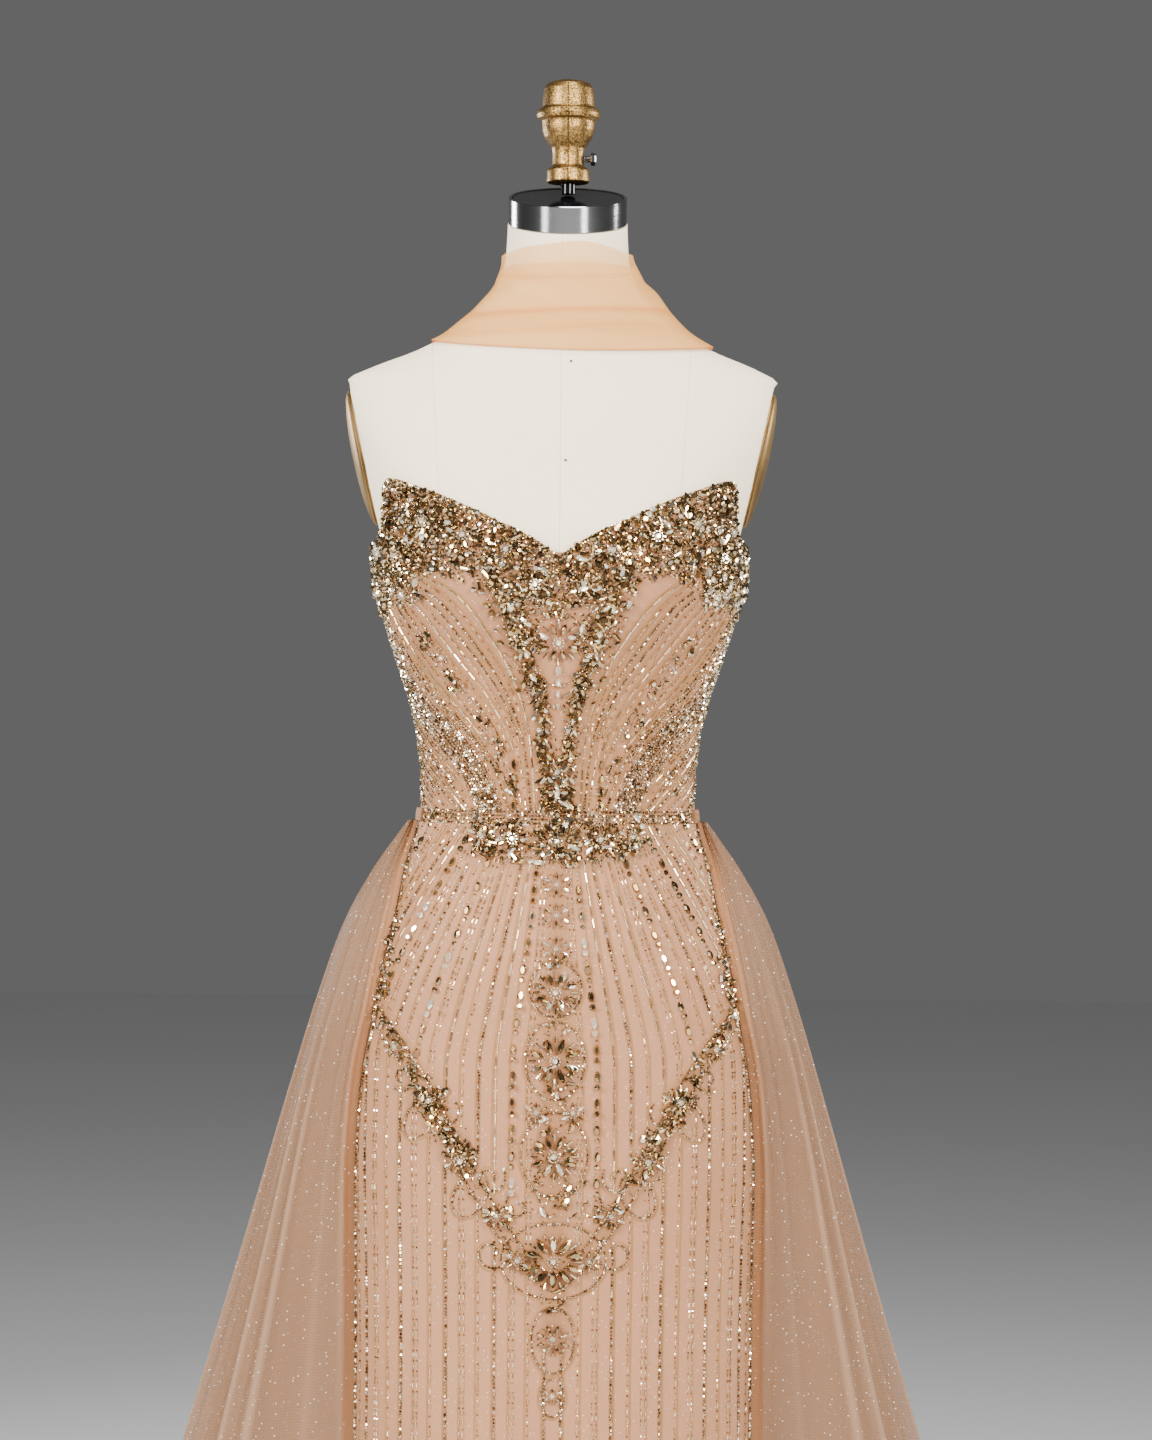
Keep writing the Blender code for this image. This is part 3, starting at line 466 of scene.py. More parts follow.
class Finish(Tree):
    """A material as its tree. Its patterns lie on the object's own coordinates."""

    def __init__(self, name, **constants):
        self.material = bpy.data.materials.new(name)
        self.material.use_nodes = True
        super().__init__(self.material.node_tree)
        self.place = self.node("ShaderNodeTexCoord", output=3)
        self.dress(**constants)

    def dress(self, **values):
        """Sets or links sockets of the shader, named with _ for a space, and hands over the material."""
        shader = self.tree.nodes["Principled BSDF"]
        for key, value in values.items():
            self.plug(shader.inputs[key.replace("_", " ")], value)
        return self.material

    def mix(self, factor, first, second):
        """A colour between two others."""
        return self.node("ShaderNodeMix", {0: factor, 6: first, 7: second}, output=2, data_type="RGBA")

    def ramp(self, factor, stops):
        """A colour out of a row of places and colours."""
        made = self.node("ShaderNodeValToRGB", {0: factor})
        elements = made.socket.node.color_ramp.elements
        while len(elements) < len(stops):
            elements.new(1.0)
        for element, (place, colour) in zip(elements, stops):
            element.position = place
            element.color = (*colour, 1.0)
        return made

    def scaled(self, scale, turn=(0.0, 0.0, 0.0)):
        return self.node("ShaderNodeMapping", {"Vector": self.place, "Scale": scale, "Rotation": turn})

    def noise(self, scale, detail=2.0, stretch=None):
        place = self.scaled(stretch) if stretch else self.place
        return self.node("ShaderNodeTexNoise", {"Vector": place, "Scale": scale, "Detail": detail})

    def specks(self, scale):
        """Round cells: the distance from each one's middle, and a random number that each one keeps."""
        cells = self.node("ShaderNodeTexVoronoi", {"Vector": self.place, "Scale": scale})
        return cells, self.parts(cells.output("Color"))

    def attribute(self, name):
        return self.node("ShaderNodeAttribute", output=2, attribute_name=name)

    def threads_map(self):
        """Where a point of a net lies along its threads, in metres."""
        return self.parts(self.node("ShaderNodeUVMap", uv_map="UVMap"))

    def bump(self, height, distance, strength):
        return self.node("ShaderNodeBump", {"Height": height, "Distance": distance, "Strength": strength})

    def parts(self, vector):
        return self.node("ShaderNodeSeparateXYZ", {0: vector})


# ------------------------------------------------------------------ finishes
NUDE = (0.460, 0.222, 0.111)
NUDE_DEEP = (0.360, 0.163, 0.076)
# the tone under thick beadwork: partly its thread, partly painted shade between the stones
BEADED_AND_SHADED_TONE = (0.290, 0.125, 0.046)
# glitter specks painted near-white: painted glints that show from every side
GLITTER_GLINT = (1.000, 0.960, 0.900)
DARK_SPECK = (0.240, 0.110, 0.040)
# painted highlight on the tops of the overskirt's folds
NET_RIDGE_HIGHLIGHT = (0.420, 0.260, 0.160)


def waves(along, pitch, drift=0.0):
    """A sine wave with this pitch, in metres."""
    return (along * (2 * math.pi / pitch) + drift).sine()


def nude_cloth():
    """Nude satin under fine net, with glitter dust in it whose specks are painted near-white as glints. It is
    darker under thick beadwork: partly the beadwork's thread, partly painted shade between the stones.
    """
    tree = Finish("beaded_cloth", Roughness=0.58, Specular_IOR_Level=0.25)
    broad = tree.noise(9.0, 3.0)
    fine = tree.noise(420.0, stretch=(1.0, 1.0, 0.35))
    dust, pick = tree.specks(330.0)
    # painted glints: glitter specks of near-white colour, bright whatever the light
    glint_speck = (dust < 0.15) * (pick > 0.72)
    tone = tree.mix(broad * 0.8 + fine * 0.35 - 0.1, NUDE_DEEP, NUDE)
    # painted shade: darker where the beadwork is thick, partly its thread, partly shade between the stones
    tone = tree.mix(tree.attribute("worked") * (0.35 + fine * 0.8), tone, BEADED_AND_SHADED_TONE)
    return tree.dress(
        Base_Color=tree.mix(glint_speck * 0.6, tone, GLITTER_GLINT),
        Roughness=0.62 - glint_speck * 0.42,
        Normal=tree.bump(fine + dust * 0.4, 0.0004, 0.6),
    )


def glitter_net(name, thin, dense, colour, deep):
    """Sheer net with glitter on it, its specks painted near-white as glints. Its doubled attribute marks hems,
    its ridge attribute the folds' tops, where a paler, denser tone is a painted highlight.
    """
    tree = Finish(name, Roughness=0.55, Specular_IOR_Level=0.25)
    spot = tree.threads_map()
    drift = tree.noise(14.0)
    across = waves(spot.output("Y"), 0.0026, drift * 9.0)
    down = waves(spot, 0.0021, drift * 5.0)
    weave = across * 0.4 + down * 0.25
    ridge, doubled = tree.attribute("ridge"), tree.attribute("doubled")
    broad = tree.noise(26.0, stretch=(1.0, 1.0, 0.12))
    dust, pick = tree.specks(210.0)
    # painted glints: glitter specks of near-white colour, bright whatever the light
    glint_speck = (dust < 0.115) * (pick > 0.30)
    dark = (dust < 0.16) * (pick > 0.992)
    # painted highlight: the folds' tops are paler
    tone = tree.mix(ridge * 0.8, colour, NET_RIDGE_HIGHLIGHT)
    tone = tree.mix(doubled * 0.85 + broad * 0.3 - 0.1, tone, deep)
    tone = tree.mix(glint_speck * 0.8, tone, GLITTER_GLINT)
    veil = thin + weave * 0.07 + broad * 0.10 + ridge * 0.16 + doubled * (dense - thin)
    return tree.dress(
        Base_Color=tree.mix(dark, tone, DARK_SPECK),
        Alpha=veil.at_least((glint_speck + dark) * 0.95).at_most(1.0),
        Roughness=0.58 - glint_speck * 0.4,
        Normal=tree.bump(weave, 0.0004, 0.4),
    )


def wrap_net():
    """Plain peach net. Its doubled attribute marks where it lies double."""
    tree = Finish("wrap_tulle", Roughness=0.62, Specular_IOR_Level=0.25)
    spot = tree.threads_map()
    threads = waves(spot, 0.0022, tree.noise(22.0) * 4.0)
    cross = waves(spot.output("Y"), 0.0026)
    fold = tree.attribute("doubled")
    broad = tree.noise(24.0, 3.0, stretch=(0.5, 1.0, 2.2))
    veil = 0.42 + threads * 0.06 + cross * 0.03 + broad * 0.20 + fold * 0.40
    return tree.dress(
        Base_Color=tree.mix(fold * 0.95 + broad * 0.35 - 0.06, (1.000, 0.520, 0.135), (0.700, 0.235, 0.045)),
        Alpha=veil.at_most(1.0),
        Normal=tree.bump(threads + broad * 3.0, 0.0005, 0.5),
    )


SEAM_X = 0.1040  # the form's front seams: how far out they are at this height, and their slope
SEAM_AT_Z = 1.389
SEAM_SLOPE = 0.0684


def form_linen():
    """Off-white sized linen with a sewn centre seam and stitched front seams."""
    tree = Finish("form_linen", Roughness=0.86, Specular_IOR_Level=0.25)
    x = tree.parts(tree.place)
    y, z = x.output("Y"), x.output("Z")
    broad = tree.noise(7.0, 3.0)
    threads = tree.noise(260.0, stretch=(1.0, 1.0, 8.0)) * 0.5
    threads += tree.noise(260.0, stretch=(8.0, 8.0, 1.0)) * 0.5
    flecks = tree.noise(170.0, 1.0) > 0.74
    centre = abs(x) < 0.00045
    princess = (abs(abs(x) - (SEAM_X - SEAM_SLOPE * SEAM_AT_Z) - z * SEAM_SLOPE) < 0.0005) * (y < 0.0)
    stitch = princess * ((z + 10.0).remainder(0.0045) < 0.0027)
    tone = tree.mix(broad * 0.7 + threads * 0.3, (0.880, 0.760, 0.530), (0.980, 0.870, 0.640))
    tone = tree.mix(flecks * 0.14, tone, (0.420, 0.360, 0.270))
    return tree.dress(
        Base_Color=tree.mix(centre * 0.34 + stitch * 0.38, tone, (0.330, 0.290, 0.230)),
        Normal=tree.bump(threads - centre * 1.5 - princess * 0.7, 0.00035, 0.6),
    )


def worn_brass():
    tree = Finish("plate_brass", Metallic=1.0, Roughness=0.4)
    grain = tree.noise(60.0, 3.0, stretch=(1.0, 14.0, 1.0))
    cloud = tree.noise(24.0, 3.0)
    return tree.dress(
        Base_Color=tree.mix(cloud * 0.7 + grain * 0.3, (0.150, 0.085, 0.028), (0.380, 0.240, 0.095)),
        Roughness=0.30 + cloud * 0.25 + grain * 0.08,
        Normal=tree.bump(grain, 0.0002, 0.4),
    )


def brushed_steel(name, turn, roughness):
    """Steel brushed round its axis."""
    tree = Finish(name, Metallic=1.0, Roughness=roughness)
    tree.place = tree.scaled((1.0, 1.0, 1.0), turn)
    lines = tree.noise(14.0, stretch=(2.0, 2.0, 150.0))
    return tree.dress(
        Base_Color=tree.mix(lines * 0.5 + tree.noise(40.0) * 0.5, (0.210, 0.210, 0.215), (0.330, 0.330, 0.335)),
        Roughness=roughness - 0.04 + lines * 0.06,
        Normal=tree.bump(lines, 0.0002, 0.25),
    )


def gloss_black():
    tree = Finish("gloss_black", Specular_IOR_Level=0.18, Roughness=0.14)
    dust = tree.noise(900.0, 1.0) > 0.76
    cloud = tree.noise(18.0, 3.0)
    return tree.dress(
        Base_Color=tree.mix(dust * 0.2, (0.004, 0.004, 0.005), (0.150, 0.145, 0.135)),
        Roughness=0.05 + cloud * 0.08 + dust * 0.2,
        Normal=tree.bump(cloud, 0.0002, 0.15),
    )


def cast_gold():
    """Gold paint over a fine-grained casting with its parting seam, darker in its pits."""
    tree = Finish("cast_gold", Metallic=1.0, Roughness=0.4)
    spot = tree.parts(tree.place)
    grain, pits, cloud = tree.noise(1100.0), tree.noise(500.0), tree.noise(40.0)
    seam_share = (abs(spot - NECK_ASIDE) < 0.00042) * (0.55 + waves(spot.output("Z"), 0.0022) * 0.45)
    worn = grain * 0.60 + pits * 0.40 + cloud * 0.14 - 0.09 - seam_share * 0.20
    return tree.dress(
        Base_Color=tree.ramp(worn, GOLD_MIX),
        Roughness=0.50 - worn * 0.20,
        Normal=tree.bump(grain * 0.6 + pits - seam_share * 0.4, 0.0004, 0.6),
    )


def cut_stone(name, stops, roughness):
    """Foiled crystal: each stone keeps one colour out of the ramp, picked by its own random number. The ramp's
    spread from dark to white is partly the stones' own colours, partly painted dark reflections and glints; the
    palest also get less metal, as painted glints.
    """
    tree = Finish(name, Roughness=roughness, Coat_Weight=1.0, Coat_Roughness=0.03)
    glint = tree.attribute("glint")
    cloud = tree.noise(300.0, 1.0)
    return tree.dress(
        Base_Color=tree.mix(cloud * 0.25, tree.ramp(glint, stops), (0.800, 0.600, 0.320)),
        # painted glints: the palest stones are white and less metallic
        Metallic=1.0 - (glint > PAINTED_GLINT_FROM) * 0.28,
        Roughness=roughness + cloud * 0.10,
    )


def silk_thread(name, deep, light):
    tree = Finish(name, Roughness=0.60, Specular_IOR_Level=0.25)
    twist = tree.noise(900.0)
    return tree.dress(
        Base_Color=tree.mix(twist * 0.5 + tree.noise(40.0) * 0.5, deep, light),
        Normal=tree.bump(twist, 0.0002, 0.6),
    )


GOLD_MIX = ((0.36, (0.050, 0.024, 0.006)), (0.50, (0.270, 0.155, 0.046)), (0.66, (0.540, 0.350, 0.130)))
# the mixes' white stops are painted glints, their darkest stops partly painted dark reflections
CHAMPAGNE_MIX = (
    (0.00, (0.110, 0.064, 0.020)),
    (0.22, (0.250, 0.155, 0.052)),
    (0.40, (0.500, 0.320, 0.120)),
    (0.60, (0.680, 0.470, 0.205)),
    (0.76, (0.320, 0.225, 0.100)),
    (0.92, (1.000, 0.920, 0.740)),
)
SILVER_MIX = (
    (0.00, (0.070, 0.045, 0.020)),
    (0.30, (0.260, 0.180, 0.085)),
    (0.52, (0.620, 0.450, 0.230)),
    (0.82, (1.000, 0.920, 0.760)),
)
PEARL_MIX = (
    (0.00, (0.400, 0.250, 0.095)),
    (0.40, (0.640, 0.450, 0.210)),
    (0.80, (0.950, 0.800, 0.540)),
)
PAINTED_GLINT_FROM = 0.93  # the palest stones are painted white with less metal: painted glints that look white from all sides

cloth = nude_cloth()
outer_net = glitter_net("glitter_tulle", 0.56, 0.94, (0.275, 0.146, 0.077), (0.300, 0.125, 0.048))
under_net = glitter_net("glitter_tulle_under", 0.66, 0.94, (0.275, 0.138, 0.068), (0.300, 0.125, 0.048))
wrap_cloth = wrap_net()
linen = form_linen()
brass = worn_brass()
steel = brushed_steel("brushed_steel", (-NECK_TILT, 0.0, 0.0), 0.15)
screw_steel = brushed_steel("screw_steel", (0.0, math.pi / 2, 0.0), 0.20)
black = gloss_black()
gold = cast_gold()
champagne = cut_stone("champagne_crystal", CHAMPAGNE_MIX, 0.06)
silver = cut_stone("silver_beads", SILVER_MIX, 0.10)
pearl = cut_stone("pearl_bugles", PEARL_MIX, 0.22)
# the dark thread beside each row is partly painted shadow of the row
thread_and_shadow = silk_thread("couched_thread", (0.230, 0.092, 0.028), (0.440, 0.205, 0.076))
# the strip beside the overskirt's edge is painted shade
strip_net = silk_thread("strip_net", (0.270, 0.115, 0.042), (0.420, 0.190, 0.078))

# ------------------------------------------------------------------ meshes


def grid_quads(rows, columns, closed=False):
    """Quads of a grid of points that run up and to the left; closed grids go all the way round."""
    r, c = np.meshgrid(np.arange(rows - 1), np.arange(columns if closed else columns - 1), indexing="ij")
    low, d = r * columns, (c + 1) % columns
    high = low + columns
    return np.stack([low + c, low + d, high + d, high + c], axis=-1).reshape(-1, 4)


def add_object(name, points, edges=(), faces=(), collection=None):
    mesh = bpy.data.meshes.new(name)
    mesh.from_pydata(np.asarray(points).tolist(), list(edges), [tuple(map(int, face)) for face in faces])
    obj = bpy.data.objects.new(name, mesh)
    (collection or bpy.context.scene.collection).objects.link(obj)
    return obj


def new_object(name, points, faces, finish, smooth_angle=50.0):
    """A piece with its finish, smooth where its faces meet at less than this angle."""
    obj = add_object(name, points, faces=faces)
    obj.data.shade_smooth()
    obj.data.set_sharp_from_angle(angle=math.radians(smooth_angle))
    obj.data.materials.append(finish)
    return obj


def grid_object(name, grid, finish, closed=False):
    return new_object(name, grid.reshape(-1, 3), grid_quads(*grid.shape[:2], closed), finish)


def add_map(obj, grid, sides=1):
    """Writes a UV map in metres: how far across and up the cloth each point of its grids lies."""
    layer = obj.data.uv_layers.new(name="UVMap")
    corner = np.zeros(len(obj.data.loops), int)
    obj.data.loops.foreach_get("vertex_index", corner)
    runs = [np.tile(run_lengths(grid, axis).ravel(), sides)[corner] for axis in (1, 0)]
    layer.data.foreach_set("uv", np.stack(runs, axis=-1).ravel())


def add_value(obj, name, values, kind="FLOAT"):
    layer = obj.data.attributes.new(name, kind, "POINT")
    numbers = np.asarray(values, np.int32 if kind == "INT" else float)
    layer.data.foreach_set("vector" if kind == "FLOAT_VECTOR" else "value", numbers.ravel())


def run_lengths(grid, axis):
    """How far along the cloth each point of a grid lies, up or across."""
    steps = np.linalg.norm(np.diff(grid, axis=axis), axis=-1)
    start = np.zeros_like(np.take(steps, [0], axis=axis))
    return np.concatenate([start, np.cumsum(steps, axis=axis)], axis=axis)


def mirrored(grid):
    """The other side's grid, with its columns turned so that they still run to the left."""
    other = grid[:, ::-1].copy()
    other[..., 0] *= -1
    return other


def wall(name, outer, inner, finish):
    """A closed wall between two grids of points."""
    rows, columns = outer.shape[:2]
    count, top = rows * columns, (rows - 1) * columns
    rim = [*range(columns), *range(2 * columns - 1, count, columns)]
    rim += [*range(count - 2, top - 1, -1), *range(top - columns, 0, -columns)]
    a = np.array(rim)
    b = np.roll(a, -1)
    quads = grid_quads(rows, columns)
    faces = np.concatenate([quads, quads[:, ::-1] + count, np.stack([b, a, a + count, b + count], axis=-1)])
    return new_object(name, np.concatenate([outer.reshape(-1, 3), inner.reshape(-1, 3)]), faces, finish)


def veil(name, grid, finish, doubled, closed=False):
    """One layer of net, with its threads' map and the share of it that lies double."""
    obj = grid_object(name, grid, finish, closed)
    add_map(obj, grid)
    add_value(obj, "doubled", np.broadcast_to(doubled, grid.shape[:2]))
    return obj


def cut_of(grid, closed=False):
    """The flat size that a grid's cloth was cut to: its greatest width and length, and its area."""
    around = np.concatenate([grid, grid[:, :1]], axis=1) if closed else grid
    wide = run_lengths(around, 1)[:, -1].max()
    long = run_lengths(grid, 0)[-1].max()
    one = around[1:, :-1] - around[:-1, :-1]
    two = around[1:, 1:] - around[:-1, :-1]
    three = around[:-1, 1:] - around[:-1, :-1]
    area = sum(0.5 * np.linalg.norm(np.cross(*pair), axis=-1) for pair in ((one, two), (two, three)))
    return (float(wide), float(long)), float(area.sum())


def place_part(obj, slot, *replaced):
    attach(obj, "root")
    if replaced:
        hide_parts(*replaced)


def place_cloth(obj, grid, slot, replaced, closed=False):
    """Hangs a cloth piece from the root and hides the part that it replaces. The size it was cut to is worked
    out but not used.
    """
    flat, area = cut_of(grid, closed)
    place_part(obj, slot, replaced)


def rounded(profile):
    """A profile with its corners cut twice, so that they turn."""
    line = [Vector(point) for point in profile]
    for _ in range(2):
        cut = [a.lerp(b, share) for a, b in zip(line, line[1:]) for share in (0.10, 0.90)]
        line = [line[0], *cut, line[-1]]
    return [tuple(point) for point in line]


def turned_rings(profile, steps, ridge=0.0):
    """Rings of a profile, from its last point to its first, with a cast seam's ridge at two sides."""
    turn = np.linspace(0.0, 2 * math.pi, steps, endpoint=False)
    radius, height = np.array(profile).T[:, ::-1, None]
    way = turn / 2 + math.pi / 4
    raised = [ridge * np.exp(-((np.abs(wave(way)) * radius / RIDGE_WIDE) ** 2)) for wave in (np.sin, np.cos)]
    wide = radius + sum(raised)
    return stack(wide * np.cos(turn), wide * np.sin(turn), height)


def closed_rings(name, rings, bottom, top, finish, sharp):
    """A solid of rings from the bottom up, closed at two middle points."""
    rows, steps = rings.shape[:2]
    count, last = rows * steps, (rows - 1) * steps
    faces = grid_quads(rows, steps, closed=True).tolist()
    for c in range(steps):
        d = (c + 1) % steps
        faces += [(d, c, count), (last + c, last + d, count + 1)]
    return new_object(name, [*rings.reshape(-1, 3), bottom, top], faces, finish, sharp)


def turned(name, profile, finish, slot, node, steps=96, matrix=None, ridge=0.0, sharp=30.0):
    """A turned part. Its profile runs from the top of the axis down the outside to the bottom."""
    rings = turned_rings([point for point in profile if point[0] > 1e-6], steps, ridge)
    ends = [(0.0, 0.0, profile[end][1]) for end in (-1, 0)]
    obj = closed_rings(name, rings, *ends, finish, sharp)
    if matrix is not None:
        obj.data.transform(matrix)
    place_part(obj, slot, node)


# ------------------------------------------------------------------ beads and cut stones
Shape = namedtuple("Shape", "points faces")


def cut_gem(length, width, height, sides=8, pointed=0.0, table=0.56, back=False):
    """A cut stone lying on the cloth: its girdle, and a flat table facing out. Only large ones need a back."""
    turn = 2 * math.pi * (np.arange(sides) + (0.0 if pointed else 0.5)) / sides
    x, y = np.cos(turn), np.sin(turn)
    y = y * (1 - pointed * np.abs(x) ** 3)
    outline = np.stack([x * length / 2, y * width / 2], axis=-1)
    girdle = np.column_stack([outline, np.full(sides, 0.3 * height)])
    top = np.column_stack([outline * table, np.full(sides, height)])
    points = [*girdle.tolist(), *top.tolist()] + [[0.0, 0.0, -0.15 * height]] * back
    faces = [tuple(range(sides, 2 * sides))]
    for k in range(sides):
        n = (k + 1) % sides
        faces.append((k, n, sides + n, sides + k))
        if back:
            faces.append((n, k, 2 * sides))
    return Shape(np.array(points), faces)


def barrel(length, radius, sides=5, cap=0.28):
    """A bead strung along the line: a belt with two tapered ends."""
    turn = 2 * math.pi * np.arange(sides) / sides
    ring = np.column_stack([np.zeros(sides), np.cos(turn) * radius, np.sin(turn) * radius])
    low = ring + [-length * (0.5 - cap), 0.0, 0.0]
    high = ring + [length * (0.5 - cap), 0.0, 0.0]
    points = [*low, *high, [-length / 2, 0.0, 0.0], [length / 2, 0.0, 0.0]]
    faces = []
    for k in range(sides):
        n = (k + 1) % sides
        faces.append((k, sides + k, sides + n, n))
        faces.append((n, 2 * sides, k))
        faces.append((sides + k, 2 * sides + 1, sides + n))
    return Shape(np.array(points, float), [face[::-1] for face in faces])


def roof(length, width, height):
    """A short bugle seen from outside: three long faces over the cloth."""
    section = ((-0.5, 0.0), (-0.25, 1.0), (0.25, 1.0), (0.5, 0.0))
    points = [(end * length, y * width, z * height) for end in (-0.5, 0.5) for y, z in section]
    return Shape(np.array(points), [(k, k + 4, k + 5, k + 1) for k in range(3)])


def moved(shape, x=0.0, y=0.0, z=0.0, turn=0.0):
    matrix = Matrix.Translation((x, y, z)) @ Matrix.Rotation(turn, 4, "Z")
    return Shape(np.array([tuple(matrix @ Vector(point)) for point in shape.points]), shape.faces)


def together(*shapes):
    points, faces = [], []
    for shape in shapes:
        faces += [tuple(k + len(points) for k in face) for face in shape.faces]
        points += shape.points.tolist()
    return Shape(np.array(points), faces)


def pattern_object(name, shape, finish, collection=None):
    """A bead or stone that the trees repeat. It is taken away when all are sewn on."""
    obj = add_object(name, shape.points, faces=shape.faces, collection=collection)
    obj.data.materials.append(finish)
    return obj


def pattern_collection(name, *rows):
    """A collection of beads or stones, each a shape and its finish."""
    collection = bpy.data.collections.new(name)
    bpy.context.scene.collection.children.link(collection)
    for number, row in enumerate(rows):
        pattern_object(f"{name}_{number}", *row, collection)
    return collection


class Sewing(Tree):
    """A Geometry Nodes tree with named inputs."""

    def __init__(self, name, **sockets):
        super().__init__(bpy.data.node_groups.new(name, "GeometryNodeTree"))
        side = self.tree.interface
        side.new_socket("Geometry", in_out="INPUT", socket_type="NodeSocketGeometry")
        self.keys = {}
        for key, kind in (sockets | COMMON).items():
            self.keys[key] = side.new_socket(key, in_out="INPUT", socket_type="NodeSocket" + kind).identifier
        side.new_socket("Geometry", in_out="OUTPUT", socket_type="NodeSocketGeometry")
        self.start = self.tree.nodes.new("NodeGroupInput")

    def value(self, name):
        return Signal(self, self.start.outputs[name])

    def named(self, name, kind="FLOAT"):
        return self.node("GeometryNodeInputNamedAttribute", {"Name": name}, data_type=kind)

    def random(self, low, high, seed):
        return self.node("FunctionNodeRandomValue", {2: low, 3: high, 8: seed}, output=1, data_type="FLOAT")

    def random_size(self):
        size, spread = self.value("Size"), self.value("Spread")
        return self.random(size - spread, size + spread, 5)

    def random_lean(self, seed):
        """Small random leans of each bead, and a turn about its own axis."""
        wobble, spin = self.value("Wobble"), self.value("Spin")
        low = self.node("ShaderNodeCombineXYZ", {0: 0.0 - wobble, 1: 0.0 - wobble, 2: 0.0 - spin})
        high = self.node("ShaderNodeCombineXYZ", {0: wobble, 1: wobble, 2: spin})
        return self.node("FunctionNodeRandomValue", {0: low, 1: high, 8: seed}, data_type="FLOAT_VECTOR")

    def turn_along(self, along):
        """A turn that faces out of the cloth and points along a direction."""
        ends = {"Primary Axis": self.named("facing", "FLOAT_VECTOR"), "Secondary Axis": along}
        return self.node("FunctionNodeAxesToRotation", ends, primary_axis="Z", secondary_axis="X")

    def picked(self):
        """Says that each point takes one of the pattern collection's stones."""
        inputs = {"Collection": self.value("Pattern"), "Separate Children": True, "Reset Children": True}
        return {"Instance": self.node("GeometryNodeCollectionInfo", inputs), "Pick Instance": True}

    def finish(self, points, inputs, glint=None):
        """Puts a bead on each point, leans it, gives it its number for its colour, and makes all one mesh."""
        seed = self.value("Seed")
        beads = self.node("GeometryNodeInstanceOnPoints", {"Points": points, **inputs})
        lean = self.random_lean(seed + 11.0)
        leaned = self.node("GeometryNodeRotateInstances", {"Instances": beads, "Rotation": lean})
        glint = glint or self.random(0.0, 1.0, seed + 23.0)
        marks = {"Geometry": leaned, "Name": "glint", "Value": glint}
        marked = self.node("GeometryNodeStoreNamedAttribute", marks, data_type="FLOAT", domain="INSTANCE")
        solid = self.node("GeometryNodeRealizeInstances", {"Geometry": marked})
        done = self.node("GeometryNodeSetMaterial", {"Geometry": solid, "Material": self.value("Finish")})
        self.plug(self.tree.nodes.new("NodeGroupOutput").inputs[0], done)
        return self

    def sew(self, obj, **values):
        """Runs the tree on an object, keeps the result as its plain mesh, and places it."""
        modifier = obj.modifiers.new("Sewing", "NODES")
        modifier.node_group = self.tree
        for key, value in values.items():
            modifier[self.keys[key]] = value
        graph = bpy.context.evaluated_depsgraph_get()
        graph.update()
        result = bpy.data.meshes.new_from_object(obj.evaluated_get(graph))
        obj.modifiers.clear()
        old = obj.data
        obj.data = result
        bpy.data.meshes.remove(old)
        place_part(obj, "beaded_cloth")


DENSEST = 400000.0  # stones a square metre, before those too near to each other are left out
COMMON = dict.fromkeys(("Size", "Spread", "Wobble", "Spin"), "Float") | {"Seed": "Int", "Finish": "Material"}


def row_sewing():
    """Repeats one pattern object along lines, at an even pitch, facing out of the cloth."""
    tree = Sewing("sewn_row", Pattern="Object", Pitch="Float")
    line = tree.node("GeometryNodeMeshToCurve", {"Mesh": tree.value("Geometry")})
    even = tree.node("GeometryNodeResampleCurve", {"Curve": line, "Length": tree.value("Pitch")}, mode="LENGTH")
    turn = tree.turn_along(tree.node("GeometryNodeInputTangent"))
    pattern = tree.node("GeometryNodeObjectInfo", {"Object": tree.value("Pattern")}).output("Geometry")
    return tree.finish(even, {"Instance": pattern, "Rotation": turn, "Scale": tree.random_size()})


def zone_sewing():
    """Strews the stones of a collection over a zone, no two nearer than the pitch."""
    tree = Sewing("strewn_zone", Pattern="Collection", Pitch="Float")
    inputs = {
        "Mesh": tree.value("Geometry"),
        "Distance Min": tree.value("Pitch"),
        "Density Max": DENSEST,
        "Density Factor": tree.named("density"),
        "Seed": tree.value("Seed"),
    }
    points = tree.node("GeometryNodeDistributePointsOnFaces", inputs, distribute_method="POISSON")
    turn = points.output("Rotation")
    return tree.finish(points, {**tree.picked(), "Rotation": turn, "Scale": tree.random_size()})


def place_sewing():
    """Puts the stones of a collection at given places, each with its own facing, turn, size and kind."""
    tree = Sewing("placed_stones", Pattern="Collection")
    points = tree.node("GeometryNodeMeshToPoints", {"Mesh": tree.value("Geometry")})
    inputs = {
        **tree.picked(),
        "Instance Index": tree.named("kind", "INT"),
        "Rotation": tree.turn_along(tree.named("along", "FLOAT_VECTOR")),
        "Scale": tree.named("own_size") * tree.random_size(),
    }
    return tree.finish(points, inputs, tree.named("own_glint"))


def line_object(name, lines):
    """Lines as the edges of a mesh. Each is a pair of arrays: its points, and how the cloth faces there."""
    ends = np.cumsum([0, *(len(place) for place, _ in lines)]).tolist()
    edges = [(k, k + 1) for start, end in zip(ends, ends[1:]) for k in range(start, end - 1)]
    obj = add_object(name, np.concatenate([place for place, _ in lines]), edges)
    add_value(obj, "facing", np.concatenate([out for _, out in lines]), "FLOAT_VECTOR")
    return obj


def gown_line(angle, z, lift=0.0):
    """A line on the gown, lifted out of it."""
    out = facing(gown_face, angle, z)
    return gown_face(angle, z) + out * lift, out


def angle_of(x, z):
    """The angle at which the front of the figure is this far out to the side."""
    share = np.abs(x) / column(SECTIONS, "half_width", z)
    return np.sign(x) * np.arcsin(np.clip(share, 0.0, 1.0) ** (column(SECTIONS, "square", z) / 2))


